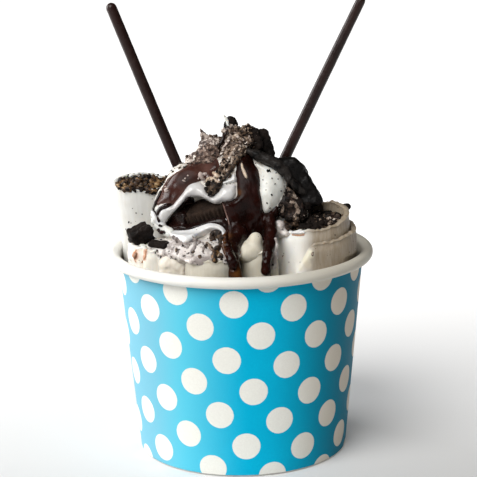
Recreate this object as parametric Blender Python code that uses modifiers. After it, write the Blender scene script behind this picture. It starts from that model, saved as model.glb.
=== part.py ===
"""Paper cup of rolled ice cream, heaped with cream, broken cookie and two chocolate sticks.

Metres, +Z up. The origin is the centre of the cup's foot, on the surface it stands on.
The side the photograph shows faces -Y. The lengths below are in millimetres.
"""

import math

import bmesh
import bpy
from mathutils import Matrix, Vector

MM = 0.001

# --- paper cup -----------------------------------------------------------------------------------
RIM_RADIUS = 50.0  # outside of the rolled rim
CUP_HEIGHT = 77.3
BEAD_HALF_WIDTH = 2.2
BEAD_HALF_HEIGHT = 2.07
WALL_TOP_RADIUS = 46.08  # outside of the wall, just under the rolled rim
WALL_TOP_Z = 72.94
FOOT_RADIUS = 39.54  # outside of the wall where it meets the table
WALL_THICKNESS = 0.6
FOLD_HEIGHT = 6.0  # the wall's lower edge is folded inwards and up, round the base disc's skirt
FOLD_THICKNESS = 0.6
SKIRT_THICKNESS = 0.5
BASE_TOP_Z = 7.2
BASE_THICKNESS = 0.7
GAP = 0.3  # between pieces that touch
CUP_STEPS = 56

# --- ice cream -----------------------------------------------------------------------------------
BED_TOP_Z = 63.0
ROLL_FOOT_Z = 63.9
WALL_CLEARANCE = 0.45
STEP_DEG = 20.0  # one facet of a roll

# Each roll is one sheet wound up from its outer free edge. x, y: centre on the bed. r: outer radius.
# turns and sheet: how far it is wound and how thick it is. edge: angle of the outer free edge, and
# way is +1 when the sheet winds inwards anticlockwise seen from above. top: height of the outer edge,
# rise: how far each turn stands above the one outside it. tilt, to: the top's slope and its direction.
# lean: how far the top is moved over. flute: folds per turn and their depth. slant: how far, in
# degrees, the free edge runs back from its foot to its top.
ROLLS = {
    "roll_left": dict(x=-33.0, y=7.2, r=11.7, turns=1.15, sheet=2.1, edge=60, way=1, top=99.0, rise=0.6,
                      tilt=0.8, to=150, lean=(-3.6, -3.0), flute=(0, 0.0), slant=0, color=(0.90, 0.88, 0.83)),
    "roll_front_left": dict(x=-29.4, y=-17.4, r=11.8, turns=1.45, sheet=2.8, edge=40, way=1, top=81.2, rise=0.5,
                            tilt=0.7, to=200, lean=(-0.6, 0.0), flute=(7, 0.55), slant=0, color=(0.87, 0.80, 0.68)),
    "roll_front": dict(x=-10.4, y=-33.2, r=9.9, turns=1.4, sheet=2.5, edge=75, way=-1, top=81.0, rise=0.6,
                       tilt=0.6, to=250, lean=(0.0, 0.5), flute=(5, 0.3), slant=0, color=(0.80, 0.76, 0.68)),
    "roll_center": dict(x=6.7, y=-28.4, r=7.4, turns=1.6, sheet=2.0, edge=-62, way=1, top=78.4, rise=5.2,
                        tilt=0.3, to=90, lean=(-0.4, 0.6), flute=(0, 0.0), slant=22, color=(0.82, 0.79, 0.71)),
    "roll_right": dict(x=27.9, y=-12.4, r=15.5, turns=1.55, sheet=2.4, edge=-125, way=1, top=83.6, rise=4.2,
                       tilt=2.6, to=30, lean=(0.3, 0.3), flute=(0, 0.0), slant=26, color=(0.82, 0.78, 0.68)),
    "roll_back_right": dict(x=26.6, y=21.4, r=12.0, turns=1.45, sheet=2.4, edge=200, way=-1, top=84.6, rise=0.7,
                            tilt=0.5, to=0, lean=(0.5, 0.8), flute=(0, 0.0), slant=8, color=(0.86, 0.82, 0.74)),
    "roll_back": dict(x=3.0, y=33.0, r=11.9, turns=1.45, sheet=2.4, edge=-70, way=1, top=94.6, rise=0.8,
                      tilt=0.7, to=120, lean=(0.0, 1.4), flute=(0, 0.0), slant=6, color=(0.87, 0.84, 0.77)),
    "roll_back_left": dict(x=-21.4, y=28.2, r=11.6, turns=1.4, sheet=2.3, edge=10, way=-1, top=96.2, rise=0.7,
                           tilt=0.9, to=200, lean=(-1.4, 0.6), flute=(0, 0.0), slant=0, color=(0.88, 0.86, 0.80)),
}

# The rolls that are filled with cookie crumb: how far the crumb stays below the roll's inner edge.
CRUMB_FILLED = {
    "roll_left": 1.2,
    "roll_front_left": 1.4,
    "roll_front": 1.4,
    "roll_right": 2.2,
    "roll_back_right": 1.6,
    "roll_back": 1.8,
    "roll_back_left": 1.4,
}
WRAP_GAP = 0.55  # between one turn of a sheet and the next

# --- heap of cream on the rolls ------------------------------------------------------------------
HEAP_X, HEAP_Y = -2.0, -2.0
HEAP_FOOT_Z = 63.9
HEAP_WIDE_Z = 88.0  # height of its widest ring
HEAP_TOP_Z = 121.5
HEAP_FOOT_RADIUS = 23.5
HEAP_RADIUS = 29.5
HEAP_DEPTH_RATIO = 0.88  # its size along Y over that along X
HEAP_LOBE = 0.05  # height of its lobes over its radius
HEAP_SKIRT = 0.36  # how much further its lower edge runs out over the front rolls
HEAP_SKIRT_DEG = -118.0
HEAP_SKIRT_Z = 84.0
HEAP_SKIRT_HEIGHT = 3.6

# --- cookies and crumb ---------------------------------------------------------------------------
COOKIE_RADIUS = 21.0
COOKIE_THICKNESS = 4.6
COOKIE_RIDGES = 24
COOKIE_RIDGE_DEPTH = 0.5
COOKIE_CENTRE = (-9.0, -3.6, 99.6)
COOKIE_TILT_DEG = 14.0  # its front edge dips
COOKIE_ROLL_DEG = 18.0  # its left side dips
COOKIE_BREAK = 8.0  # the broken edge's distance behind its centre
COOKIE_BREAK_RIGHT = 11.0  # and on its right
MOUTH_CENTRE = (-15.5, -27.0, 97.2)  # the hollow in the heap's front in which the cookie shows
MOUTH_RADII = (13.0, 9.5, 6.0)

SLAB_SIZE = (28.0, 15.0, 7.4)
SLAB_CENTRE = (20.6, -6.4, 103.2)
SLAB_SLOPE_DEG = 41.6
CHUNK_TOP_RADII = (6.2, 5.4, 4.9)
CHUNK_TOP_CENTRE = (6.4, -4.0, 119.6)
CRUMB_PEAK_BASE = (-5.2, -6.0, 112.5)
CRUMB_PEAK_TIP = (-2.8, -4.0, 127.2)
CRUMB_PEAK_RADIUS = 4.2
CHUNK_LEFT_RADII = (4.5, 3.7, 3.5)
CHUNK_LEFT_CENTRE = (-36.4, -17.4, 87.0)

# --- chocolate sticks ----------------------------------------------------------------------------
# foot and tip: the ends of the centre line. r_foot and r_tip: radius near each end.
STICKS = {
    "stick_left": dict(foot=(-6.6, 9.0, 64.6), tip=(-47.0, 9.0, 168.6), r_foot=2.05, r_tip=2.02),
    "stick_right": dict(foot=(-3.7, 6.5, 65.2), tip=(46.9, 6.5, 169.6), r_foot=2.05, r_tip=1.72),
}
STICK_SIDES = 12

COLLECTION = "cup_of_rolled_ice_cream"


def clear_scene():
    for obj in list(bpy.data.objects):
        bpy.data.objects.remove(obj, do_unlink=True)


def collection(name):
    made = bpy.data.collections.new(name)
    bpy.context.scene.collection.children.link(made)
    return made


def material(name, color, roughness):
    made = bpy.data.materials.new(name)
    made.use_nodes = True
    shader = made.node_tree.nodes["Principled BSDF"]
    shader.inputs["Base Color"].default_value = (*color, 1.0)
    shader.inputs["Roughness"].default_value = roughness
    shader.inputs["Metallic"].default_value = 0.0
    return made


def finish(name, mesh, parts, color, roughness, smooth=True):
    """The mesh as a named object with its own material."""
    obj = bpy.data.objects.new(name, mesh)
    parts.objects.link(obj)
    mesh.materials.append(material(name, color, roughness))
    if smooth:
        mesh.shade_smooth()
        mesh.set_sharp_from_angle(angle=math.radians(38))
    return obj


def helper(name, mesh, cutters):
    obj = bpy.data.objects.new(name, mesh)
    cutters.objects.link(obj)
    obj.hide_render = True
    obj.display_type = "WIRE"
    return obj


def turned(name, profile, steps, parts, color, roughness):
    """A closed (radius, height) outline turned about Z. Its +X side runs down the outside."""
    mesh = bpy.data.meshes.new(name)
    points = [(r * MM, 0.0, z * MM) for r, z in profile]
    mesh.from_pydata(points, [(i, (i + 1) % len(points)) for i in range(len(points))], [])
    obj = finish(name, mesh, parts, color, roughness, smooth=False)
    screw = obj.modifiers.new("turn", "SCREW")
    screw.axis = "Z"
    screw.angle = math.tau
    screw.steps = screw.render_steps = steps
    screw.use_merge_vertices = True
    screw.merge_threshold = 0.00001
    screw.use_smooth_shade = True
    return obj


def applied(obj):
    """The object's evaluated mesh, as a plain mesh in world space."""
    bpy.context.view_layer.update()
    graph = bpy.context.evaluated_depsgraph_get()
    mesh = bpy.data.meshes.new_from_object(obj.evaluated_get(graph))
    mesh.transform(obj.matrix_world)
    return mesh


def wall_outer(z):
    return FOOT_RADIUS + (WALL_TOP_RADIUS - FOOT_RADIUS) * z / WALL_TOP_Z


def wall_inner(z):
    return wall_outer(z) - WALL_THICKNESS


def cup_wall(parts):
    bead_r = RIM_RADIUS - BEAD_HALF_WIDTH
    bead_z = CUP_HEIGHT - BEAD_HALF_HEIGHT
    outline = []
    for i in range(10):  # the rolled rim, from its inner side over the top to under its outer side
        a = math.radians(180 - 36 * i)
        outline.append((bead_r + BEAD_HALF_WIDTH * math.cos(a), bead_z + BEAD_HALF_HEIGHT * math.sin(a)))
    outline[-1] = (WALL_TOP_RADIUS + 0.05, WALL_TOP_Z + 0.5)
    slot_out = wall_inner(3.0)
    slot_in = slot_out - SKIRT_THICKNESS - 2 * GAP
    outline += [
        (wall_outer(0.5), 0.5),
        (wall_outer(0.0) - 0.4, 0.0),
        (slot_in - FOLD_THICKNESS + 0.3, 0.0),
        (slot_in - FOLD_THICKNESS, 0.3),
        (slot_in - FOLD_THICKNESS, FOLD_HEIGHT),
        (slot_in, FOLD_HEIGHT),
        (slot_in, 0.7),
        (slot_out - 0.1, 0.7),
        (wall_inner(6.0), 6.0),
    ]
    return turned("cup_wall", outline, CUP_STEPS, parts, (0.03, 0.46, 0.70), 0.45)


def cup_base(parts):
    r_out = wall_inner(3.0) - GAP
    r_in = r_out - SKIRT_THICKNESS
    top = BASE_TOP_Z
    under = BASE_TOP_Z - BASE_THICKNESS
    outline = [
        (0.0, top - 0.3),
        (r_out - 8.0, top - 0.15),
        (r_out, top),
        (r_out, 1.1),
        (r_in, 1.1),
        (r_in, under),
        (r_out - 8.0, under - 0.15),
        (0.0, under - 0.3),
    ]
    return turned("cup_base", outline, CUP_STEPS, parts, (0.80, 0.79, 0.76), 0.6)


def ice_cream_bed(parts):
    """What fills the cup under the rolls, with a gently uneven top."""
    foot = BASE_TOP_Z + GAP
    rim = wall_inner(BED_TOP_Z) - GAP
    outline = [(0.0, BED_TOP_Z)]
    outline += [(rim * f, BED_TOP_Z) for f in (0.3, 0.55, 0.8)]
    outline += [(rim - 1.2, BED_TOP_Z), (rim, BED_TOP_Z - 1.2), (wall_inner(foot) - 0.5, foot), (0.0, foot)]
    guide = turned("bed_guide", outline, 40, parts, (0.9, 0.9, 0.9), 0.5)
    mesh = applied(guide)
    bpy.data.objects.remove(guide, do_unlink=True)
    mesh.materials.clear()
    for v in mesh.vertices:
        x, y, z = (c / MM for c in v.co)
        if z > BED_TOP_Z - 0.6 and math.hypot(x, y) < rim - 0.6:
            v.co.z += MM * 0.45 * math.sin(0.21 * x + 0.6) * math.cos(0.17 * y - 0.4)
    mesh.name = "ice_cream_bed"
    return finish("ice_cream_bed", mesh, parts, (0.86, 0.83, 0.76), 0.5)


def press_in(x, y, z):
    """Moves a point that would touch the wall back inside it, as soft ice cream flattens there."""
    if z > CUP_HEIGHT + 0.5:
        reach = RIM_RADIUS - 1.5
    else:
        reach = wall_inner(min(z, WALL_TOP_Z)) - WALL_CLEARANCE
    far = math.hypot(x, y)
    if far > reach:
        x, y = x * reach / far, y * reach / far
    return x, y


def top_of(roll, turn, angle):
    ragged = 0.35 * math.sin(5.1 * angle + roll["x"]) + 0.25 * math.sin(9.7 * angle + 2.0 * roll["y"])
    slope = roll["tilt"] * math.cos(angle - math.radians(roll["to"]))
    return roll["top"] + roll["rise"] * turn + slope + ragged


def sheet_roll(name, roll, parts):
    """An open sheet wound on its spiral, given its thickness by Solidify."""
    step = STEP_DEG if not roll["flute"][0] else 15.0
    columns = round(roll["turns"] * 360 / step)
    rows = 3
    sheet = roll["sheet"]
    pitch = sheet + WRAP_GAP
    built = bmesh.new()
    grid = []
    for i in range(columns + 1):
        turn = i * step / 360
        base = math.radians(roll["edge"]) + roll["way"] * math.tau * turn
        line = []
        for j in range(rows + 1):
            v = j / rows
            # the free edge leans back with height, and the sheet catches up with it further on
            angle = base + roll["way"] * math.radians(roll["slant"]) * v * max(0.0, 1 - i / 5)
            winding = roll["r"] - sheet / 2 - 0.05 - pitch * turn
            folds, depth = roll["flute"]
            if folds and turn < 1:
                winding += depth * (0.3 * math.sin(folds * angle) - 0.5)
            z = ROLL_FOOT_Z + (top_of(roll, turn, angle) - ROLL_FOOT_Z) * v
            lean = (z - ROLL_FOOT_Z) / (roll["top"] - ROLL_FOOT_Z)
            # room for half the sheet's thickness between its middle line and the wall
            x = roll["x"] + roll["lean"][0] * lean + winding * math.cos(angle)
            y = roll["y"] + roll["lean"][1] * lean + winding * math.sin(angle)
            far = math.hypot(x, y)
            px, py = press_in(x * (1 + sheet / 2 / far), y * (1 + sheet / 2 / far), z)
            shrink = (math.hypot(px, py) - sheet / 2) / far
            line.append(built.verts.new((x * shrink * MM, y * shrink * MM, z * MM)))
        grid.append(line)
    for a, b in zip(grid, grid[1:]):
        for j in range(rows):
            corners = [a[j], b[j], b[j + 1], a[j + 1]]
            built.faces.new(corners if roll["way"] > 0 else corners[::-1])
    mesh = bpy.data.meshes.new(name)
    built.to_mesh(mesh)
    built.free()
    obj = finish(name, mesh, parts, roll["color"], 0.5)
    thick = obj.modifiers.new("sheet", "SOLIDIFY")
    thick.thickness = sheet * MM
    thick.offset = 0.0
    thick.use_even_offset = True
    return obj


def crumb_filling(name, roll, below, parts):
    """The crumb inside a roll, from its foot to its uneven top."""
    inner = roll["r"] - roll["sheet"] - 0.05 - (roll["sheet"] + WRAP_GAP) * roll["turns"]
    radius = (inner - 0.35) * math.cos(math.radians(STEP_DEG / 2))
    built = bmesh.new()
    bmesh.ops.create_uvsphere(built, u_segments=12, v_segments=5, radius=1.0)
    for v in built.verts:
        ring = round(math.degrees(math.acos(max(-1.0, min(1.0, v.co.z)))) / 36)  # 0 at the top, 5 at the foot
        around = math.atan2(v.co.y, v.co.x)
        top = roll["top"] + roll["rise"] * roll["turns"] - below
        top += roll["tilt"] * math.cos(around - math.radians(roll["to"])) * (0 if ring == 0 else 0.7)
        top += 0.5 * math.sin(3 * around + roll["x"]) * (ring < 3)
        z = (top + 0.4, top, top - 1.6, ROLL_FOOT_Z + 1.0, ROLL_FOOT_Z, ROLL_FOOT_Z)[ring]
        r = radius * (0.0, 0.55, 1.0, 1.0, 0.9, 0.0)[ring]
        lean = (z - ROLL_FOOT_Z) / (roll["top"] - ROLL_FOOT_Z)
        x = roll["x"] + roll["lean"][0] * lean + r * math.cos(around)
        y = roll["y"] + roll["lean"][1] * lean + r * math.sin(around)
        # the roll's far side is pressed in by the wall, and its filling with it
        far = math.hypot(x, y)
        room = math.hypot(*press_in(x * 9, y * 9, z)) - 2 * roll["sheet"] - WRAP_GAP - 0.6
        if far > room:
            x, y = x * room / far, y * room / far
        v.co = Vector((x, y, z)) * MM
    mesh = bpy.data.meshes.new(name)
    built.to_mesh(mesh)
    built.free()
    return finish(name, mesh, parts, (0.07, 0.045, 0.03), 0.9, smooth=False)


def roll_envelope(name, roll, cutters):
    """The round space a roll stands in, with clearance: it shapes the underside of the heap."""
    built = bmesh.new()
    sides = 20
    radius = (roll["r"] + 0.55) / math.cos(math.pi / sides)
    top = roll["top"] + roll["rise"] * roll["turns"] + 0.9
    bmesh.ops.create_cone(
        built, cap_ends=True, segments=sides, radius1=radius * MM, radius2=radius * MM, depth=(top - 50) * MM
    )
    for v in built.verts:
        x, y, z = v.co.x / MM, v.co.y / MM, v.co.z / MM
        upper = z > 0
        slope = roll["tilt"] * (math.cos(math.atan2(y, x) - math.radians(roll["to"]))) if upper else 0
        z = top + slope if upper else 50.0
        lean = (z - ROLL_FOOT_Z) / (roll["top"] - ROLL_FOOT_Z)
        v.co = Vector((x + roll["x"] + roll["lean"][0] * lean, y + roll["y"] + roll["lean"][1] * lean, z)) * MM
    mesh = bpy.data.meshes.new(name)
    built.to_mesh(mesh)
    built.free()
    return helper(name, mesh, cutters)


def heap_radius(z):
    if z >= HEAP_WIDE_Z:
        t = (z - HEAP_WIDE_Z) / (HEAP_TOP_Z - HEAP_WIDE_Z)
        return HEAP_RADIUS * max(0.0, 1 - t**1.5) ** 0.72
    t = (HEAP_WIDE_Z - z) / (HEAP_WIDE_Z - HEAP_FOOT_Z)
    return HEAP_RADIUS - (HEAP_RADIUS - HEAP_FOOT_RADIUS) * min(1.0, 1.6 * t) ** 1.3


def cream_heap(parts):
    """A ball of rings set to the heap's outline, with lobes round it."""
    rings = 15
    built = bmesh.new()
    bmesh.ops.create_uvsphere(built, u_segments=28, v_segments=rings, radius=1.0)
    for v in built.verts:
        polar = math.acos(max(-1.0, min(1.0, v.co.z)))
        level = 1 - polar / math.pi  # 0 at the foot, 1 at the top
        around = math.atan2(v.co.y, v.co.x)
        z = HEAP_FOOT_Z + (HEAP_TOP_Z - HEAP_FOOT_Z) * min(1.0, max(0.0, (level - 0.04) / 0.96))
        r = heap_radius(z) if 0.01 < level < 0.995 else 0.0
        lobes = math.sin(3 * around + 0.12 * z) + 0.6 * math.sin(5 * around - 0.2 * z + 1.0)
        r *= 1 + HEAP_LOBE * lobes * (1 if z > HEAP_WIDE_Z - 8 else 0.3)
        forward = max(0.0, math.cos((around - math.radians(HEAP_SKIRT_DEG)) * 0.9)) ** 1.5
        r *= 1 + HEAP_SKIRT * forward * math.exp(-(((z - HEAP_SKIRT_Z) / HEAP_SKIRT_HEIGHT) ** 2))
        v.co = Vector(
            (HEAP_X + r * math.cos(around), HEAP_Y + r * HEAP_DEPTH_RATIO * math.sin(around), z)
        ) * MM
    mesh = bpy.data.meshes.new("cream_mound")
    built.to_mesh(mesh)
    built.free()
    return finish("cream_mound", mesh, parts, (0.78, 0.76, 0.72), 0.45)


def cookie_mesh(name, grow):
    """A round wafer with a ridged edge, broken off behind and on its right. grow: clearance all round."""
    sides = COOKIE_RIDGES * 2
    radius = COOKIE_RADIUS + grow
    built = bmesh.new()
    half = COOKIE_THICKNESS / 2 + grow
    bmesh.ops.create_cone(
        built, cap_ends=True, segments=sides, radius1=radius * MM, radius2=radius * MM, depth=2 * half * MM
    )
    for v in built.verts:
        a = math.atan2(v.co.y, v.co.x)
        ridge = COOKIE_RIDGE_DEPTH * (round((a % math.tau) / (math.tau / sides)) % 2)
        v.co.x -= ridge * MM * math.cos(a)
        v.co.y -= ridge * MM * math.sin(a)
    for at, normal in (((0, COOKIE_BREAK, 0), (-0.6, 0.8, 0)), ((COOKIE_BREAK_RIGHT, 0, 0), (1, 0.1, 0))):
        cut = bmesh.ops.bisect_plane(
            built,
            geom=built.verts[:] + built.edges[:] + built.faces[:],
            plane_co=(Vector(at) + Vector(normal).normalized() * grow) * MM,
            plane_no=normal,
            clear_outer=True,
        )
        edges = [e for e in cut["geom_cut"] if isinstance(e, bmesh.types.BMEdge)]
        bmesh.ops.edgeloop_fill(built, edges=edges)
    bmesh.ops.recalc_face_normals(built, faces=built.faces[:])
    bmesh.ops.transform(
        built,
        verts=built.verts[:],
        matrix=Matrix.Translation(Vector(COOKIE_CENTRE) * MM)
        @ Matrix.Rotation(math.radians(-COOKIE_ROLL_DEG), 4, "Y")
        @ Matrix.Rotation(math.radians(COOKIE_TILT_DEG), 4, "X"),
    )
    mesh = bpy.data.meshes.new(name)
    built.to_mesh(mesh)
    built.free()
    return mesh


def mouth_mesh(name):
    """A flattened ball, tipped to the left as the cookie is."""
    built = bmesh.new()
    bmesh.ops.create_uvsphere(built, u_segments=12, v_segments=6, radius=MM)
    bmesh.ops.transform(
        built,
        verts=built.verts[:],
        matrix=Matrix.Translation(Vector(MOUTH_CENTRE) * MM)
        @ Matrix.Rotation(math.radians(-COOKIE_ROLL_DEG), 4, "Y")
        @ Matrix.Diagonal((*MOUTH_RADII, 1.0)),
    )
    mesh = bpy.data.meshes.new(name)
    built.to_mesh(mesh)
    built.free()
    return mesh


def rough(x, y, z, size):
    """A fixed uneven field, about -1 to 1, with lumps of about this size."""
    k = math.tau / size
    return (
        math.sin(k * x + 1.3 * math.sin(k * 0.7 * y) + 0.5)
        + math.sin(k * 1.13 * y + 1.1 * math.sin(k * 0.8 * z) + 1.9)
        + math.sin(k * 0.93 * z + 1.2 * math.sin(k * 0.6 * x) + 4.1)
    ) / 3


def slab_mesh(name, grow):
    """A thick broken piece of cookie lying down the right of the heap."""
    built = bmesh.new()
    bmesh.ops.create_cube(built, size=1.0)
    if grow == 0:
        bmesh.ops.subdivide_edges(built, edges=built.edges[:], cuts=4, use_grid_fill=True)
    long, deep, thick = SLAB_SIZE
    for v in built.verts:
        u, w, t = v.co.x, v.co.y, v.co.z
        if grow == 0:  # round the ends off and roughen the faces
            w *= 1 - 2.2 * abs(u) ** 3
            t *= 1 - 0.5 * max(0.0, -u) - 1.2 * abs(w) ** 2
            p = Vector((u * long * (1 - 0.5 * w * w), w * deep, t * thick))
            p *= 1 - 0.1 + 0.1 * rough(p.x, p.y, 2 * p.z, 9.0)
        else:
            p = Vector((u * (long + 2 * grow), w * (deep + 2 * grow), t * (thick + 2 * grow)))
        v.co = p * MM
    bmesh.ops.transform(
        built,
        verts=built.verts[:],
        matrix=Matrix.Translation(Vector(SLAB_CENTRE) * MM)
        @ Matrix.Rotation(math.radians(SLAB_SLOPE_DEG), 4, "Y"),
    )
    mesh = bpy.data.meshes.new(name)
    built.to_mesh(mesh)
    built.free()
    return mesh


def lump_mesh(name, centre, radii, size, depth, grow, levels=2):
    """A rough lump: a ball stretched to its radii, with an uneven surface."""
    built = bmesh.new()
    bmesh.ops.create_icosphere(built, subdivisions=levels if grow == 0 else 1, radius=1.0)
    for v in built.verts:
        p = Vector((v.co.x * radii[0], v.co.y * radii[1], v.co.z * radii[2]))
        if grow == 0:
            p *= 1 - depth + depth * rough(p.x + centre[0], p.y, p.z, size)
        else:
            p = v.co.normalized() * (max(radii) * 1.06 + grow)
            p = Vector((p.x * radii[0], p.y * radii[1], p.z * radii[2])) * (1.16 / max(radii))
        v.co = (p + Vector(centre)) * MM
    mesh = bpy.data.meshes.new(name)
    built.to_mesh(mesh)
    built.free()
    return mesh


def peak_mesh(name, grow):
    """The crumbly spire at the top: a cone that tapers and bends to its tip."""
    base, tip = Vector(CRUMB_PEAK_BASE), Vector(CRUMB_PEAK_TIP)
    built = bmesh.new()
    bmesh.ops.create_uvsphere(built, u_segments=10, v_segments=8, radius=1.0)
    for v in built.verts:
        t = (1 - v.co.z) / 2  # 0 at the tip
        ring = math.hypot(v.co.x, v.co.y)
        around = math.atan2(v.co.y, v.co.x)
        r = ring * (CRUMB_PEAK_RADIUS * (0.35 + 0.8 * t) + grow)
        if grow == 0:
            r *= 0.9 + 0.1 * math.sin(3 * around + 9 * t)
        axis = tip + (base - tip) * (t * (1 + 0.02 * grow))
        bend = 1.6 * math.sin(math.pi * (1 - t))
        v.co = Vector((axis.x + bend + r * math.cos(around), axis.y + r * math.sin(around), axis.z)) * MM
    mesh = bpy.data.meshes.new(name)
    built.to_mesh(mesh)
    built.free()
    return mesh


def stick_profile(length, r_foot, r_tip, grow):
    """Half outline of a stick, from its rounded tip down its side to its flat foot."""
    outline = [(0.0, length + grow)]
    for a in (30, 60, 90):
        a = math.radians(a)
        outline.append((r_tip * math.sin(a) + grow, length - r_tip * (1 - math.cos(a)) + (grow if a < 0.6 else 0)))
    outline += [(r_foot + grow, length * 0.4), (r_foot + grow, 0.4 - grow), (r_foot - 0.4 + grow, -grow), (0.0, -grow)]
    return outline


def stick(name, spec, parts, cutters):
    foot, tip = Vector(spec["foot"]), Vector(spec["tip"])
    along = tip - foot
    matrix = Matrix.Translation(foot * MM) @ along.to_track_quat("Z", "Y").to_matrix().to_4x4()
    obj = turned(
        name, stick_profile(along.length, spec["r_foot"], spec["r_tip"], 0.0), STICK_SIDES, parts, (0.045, 0.022, 0.018), 0.35
    )
    obj.matrix_world = matrix
    guide = turned(
        name + "_hole",
        stick_profile(along.length, spec["r_foot"] * 1.03, spec["r_tip"] * 1.03, GAP),
        STICK_SIDES,
        cutters,
        (1, 1, 1),
        0.5,
    )
    guide.matrix_world = matrix
    guide.hide_render = True
    guide.display_type = "WIRE"
    return obj, guide


def cut(obj, cutter):
    """Takes the cutter's shape out of the object."""
    boolean = obj.modifiers.new(cutter.name, "BOOLEAN")
    boolean.operation = "DIFFERENCE"
    boolean.solver = "EXACT"
    boolean.object = cutter


def main():
    clear_scene()
    parts = collection(COLLECTION)
    cutters = collection("cutters")

    cup_wall(parts)
    cup_base(parts)
    ice_cream_bed(parts)

    heap = cream_heap(parts)
    for name, roll in ROLLS.items():
        sheet_roll(name, roll, parts)
        if name in CRUMB_FILLED:
            crumb_filling(name.replace("roll", "crumb"), roll, CRUMB_FILLED[name], parts)
        cut(heap, roll_envelope(name + "_space", roll, cutters))

    finish("cookie", cookie_mesh("cookie", 0.0), parts, (0.024, 0.014, 0.011), 0.7, smooth=False)
    cut(heap, helper("cookie_space", cookie_mesh("cookie_space", GAP), cutters))

    cut(heap, helper("mouth", mouth_mesh("mouth"), cutters))

    finish("cookie_slab", slab_mesh("cookie_slab", 0.0), parts, (0.02, 0.014, 0.012), 0.75, smooth=False)
    cut(heap, helper("slab_space", slab_mesh("slab_space", GAP), cutters))

    crumb = (0.03, 0.02, 0.016)
    finish(
        "cookie_chunk_top",
        lump_mesh("cookie_chunk_top", CHUNK_TOP_CENTRE, CHUNK_TOP_RADII, 6.0, 0.1, 0.0),
        parts,
        crumb,
        0.85,
        smooth=False,
    )
    cut(heap, helper("chunk_top_space", lump_mesh("chunk_top_space", CHUNK_TOP_CENTRE, CHUNK_TOP_RADII, 6.0, 0.1, GAP), cutters))
    finish(
        "cookie_chunk_left",
        lump_mesh("cookie_chunk_left", CHUNK_LEFT_CENTRE, CHUNK_LEFT_RADII, 5.0, 0.1, 0.0),
        parts,
        crumb,
        0.85,
        smooth=False,
    )
    cut(heap, helper("chunk_left_space", lump_mesh("chunk_left_space", CHUNK_LEFT_CENTRE, CHUNK_LEFT_RADII, 5.0, 0.1, GAP), cutters))
    finish("crumb_peak", peak_mesh("crumb_peak", 0.0), parts, (0.12, 0.085, 0.065), 0.85, smooth=False)
    cut(heap, helper("peak_space", peak_mesh("peak_space", GAP), cutters))

    for name, spec in STICKS.items():
        _, hole = stick(name, spec, parts, cutters)
        cut(heap, hole)


main()
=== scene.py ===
"""Looks of the cup of rolled ice cream: printed paper cup, ice cream rolls, cream, sauce, cookie, crumb and sticks.

Lengths in this file are millimetres until a mesh is made. +Z is up and the photographed side faces -Y.
"""

import math

import bpy
import numpy as np
from mathutils import Matrix, Vector
from mathutils.bvhtree import BVHTree


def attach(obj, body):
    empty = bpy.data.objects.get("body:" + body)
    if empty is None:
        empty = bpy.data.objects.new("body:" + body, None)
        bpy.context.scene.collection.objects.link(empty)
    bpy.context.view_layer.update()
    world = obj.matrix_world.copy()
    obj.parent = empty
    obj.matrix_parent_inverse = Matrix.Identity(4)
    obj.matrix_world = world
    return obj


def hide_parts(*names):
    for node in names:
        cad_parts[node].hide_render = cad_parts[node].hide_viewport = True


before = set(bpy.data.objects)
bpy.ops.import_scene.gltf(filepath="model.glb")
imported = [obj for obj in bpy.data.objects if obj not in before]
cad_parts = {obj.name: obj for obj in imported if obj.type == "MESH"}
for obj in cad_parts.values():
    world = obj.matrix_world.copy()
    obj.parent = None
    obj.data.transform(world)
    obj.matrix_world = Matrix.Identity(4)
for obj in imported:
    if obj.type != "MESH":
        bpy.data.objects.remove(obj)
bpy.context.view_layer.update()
MM = 0.001
TAU = math.tau

# the cup
RIM_RADIUS, CUP_HEIGHT = 50.0, 77.3
BEAD_W, BEAD_H = 2.2, 2.07
WALL_TOP_RADIUS, FOOT_RADIUS, WALL = 46.08, 39.54, 0.6

# ------------------------------------------------------------------------------------------------
# camera: the photograph's viewing angle
# ------------------------------------------------------------------------------------------------
IMAGE = 477.0
FOCAL_PX = 1694.65
DISTANCE = 640.766
PITCH = math.radians(13.366)
ROLL = math.radians(-1.006)
TARGET = np.array([-0.589, 0.0, 80.063])

FWD = np.array([0.0, math.cos(PITCH), -math.sin(PITCH)])
_right = np.array([1.0, 0.0, 0.0])
_up = np.cross(_right, FWD)
RIGHT = _right * math.cos(ROLL) + _up * math.sin(ROLL)
UP = -_right * math.sin(ROLL) + _up * math.cos(ROLL)
EYE = TARGET - FWD * DISTANCE


def to_image(p):
    """Image pixel of a point in mm."""
    v = np.asarray(p, float) - EYE
    z = v @ FWD
    return IMAGE / 2 + FOCAL_PX * (v @ RIGHT) / z, IMAGE / 2 - FOCAL_PX * (v @ UP) / z


def ray_of(x, y):
    d = FWD * FOCAL_PX + RIGHT * (x - IMAGE / 2) - UP * (y - IMAGE / 2)
    return d / np.linalg.norm(d)


def at_depth(x, y, depth_y):
    """The point with this Y that is seen at this pixel."""
    d = ray_of(x, y)
    return EYE + d * ((depth_y - EYE[1]) / d[1])


# ------------------------------------------------------------------------------------------------
# noise, signed distances and meshing
# ------------------------------------------------------------------------------------------------
def _hash(ix, iy, iz, seed):
    n = (
        ix.astype(np.uint32) * np.uint32(0x8DA6B343)
        + iy.astype(np.uint32) * np.uint32(0xD8163841)
        + iz.astype(np.uint32) * np.uint32(0xCB1AB31F)
        + np.uint32((seed * 2654435761) & 0xFFFFFFFF)
    )
    n ^= n >> np.uint32(13)
    n *= np.uint32(0x5BD1E995)
    n ^= n >> np.uint32(15)
    n *= np.uint32(0x27D4EB2D)
    n ^= n >> np.uint32(16)
    return n.astype(np.float32) * np.float32(2.0 / 4294967295.0) - np.float32(1.0)


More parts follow.
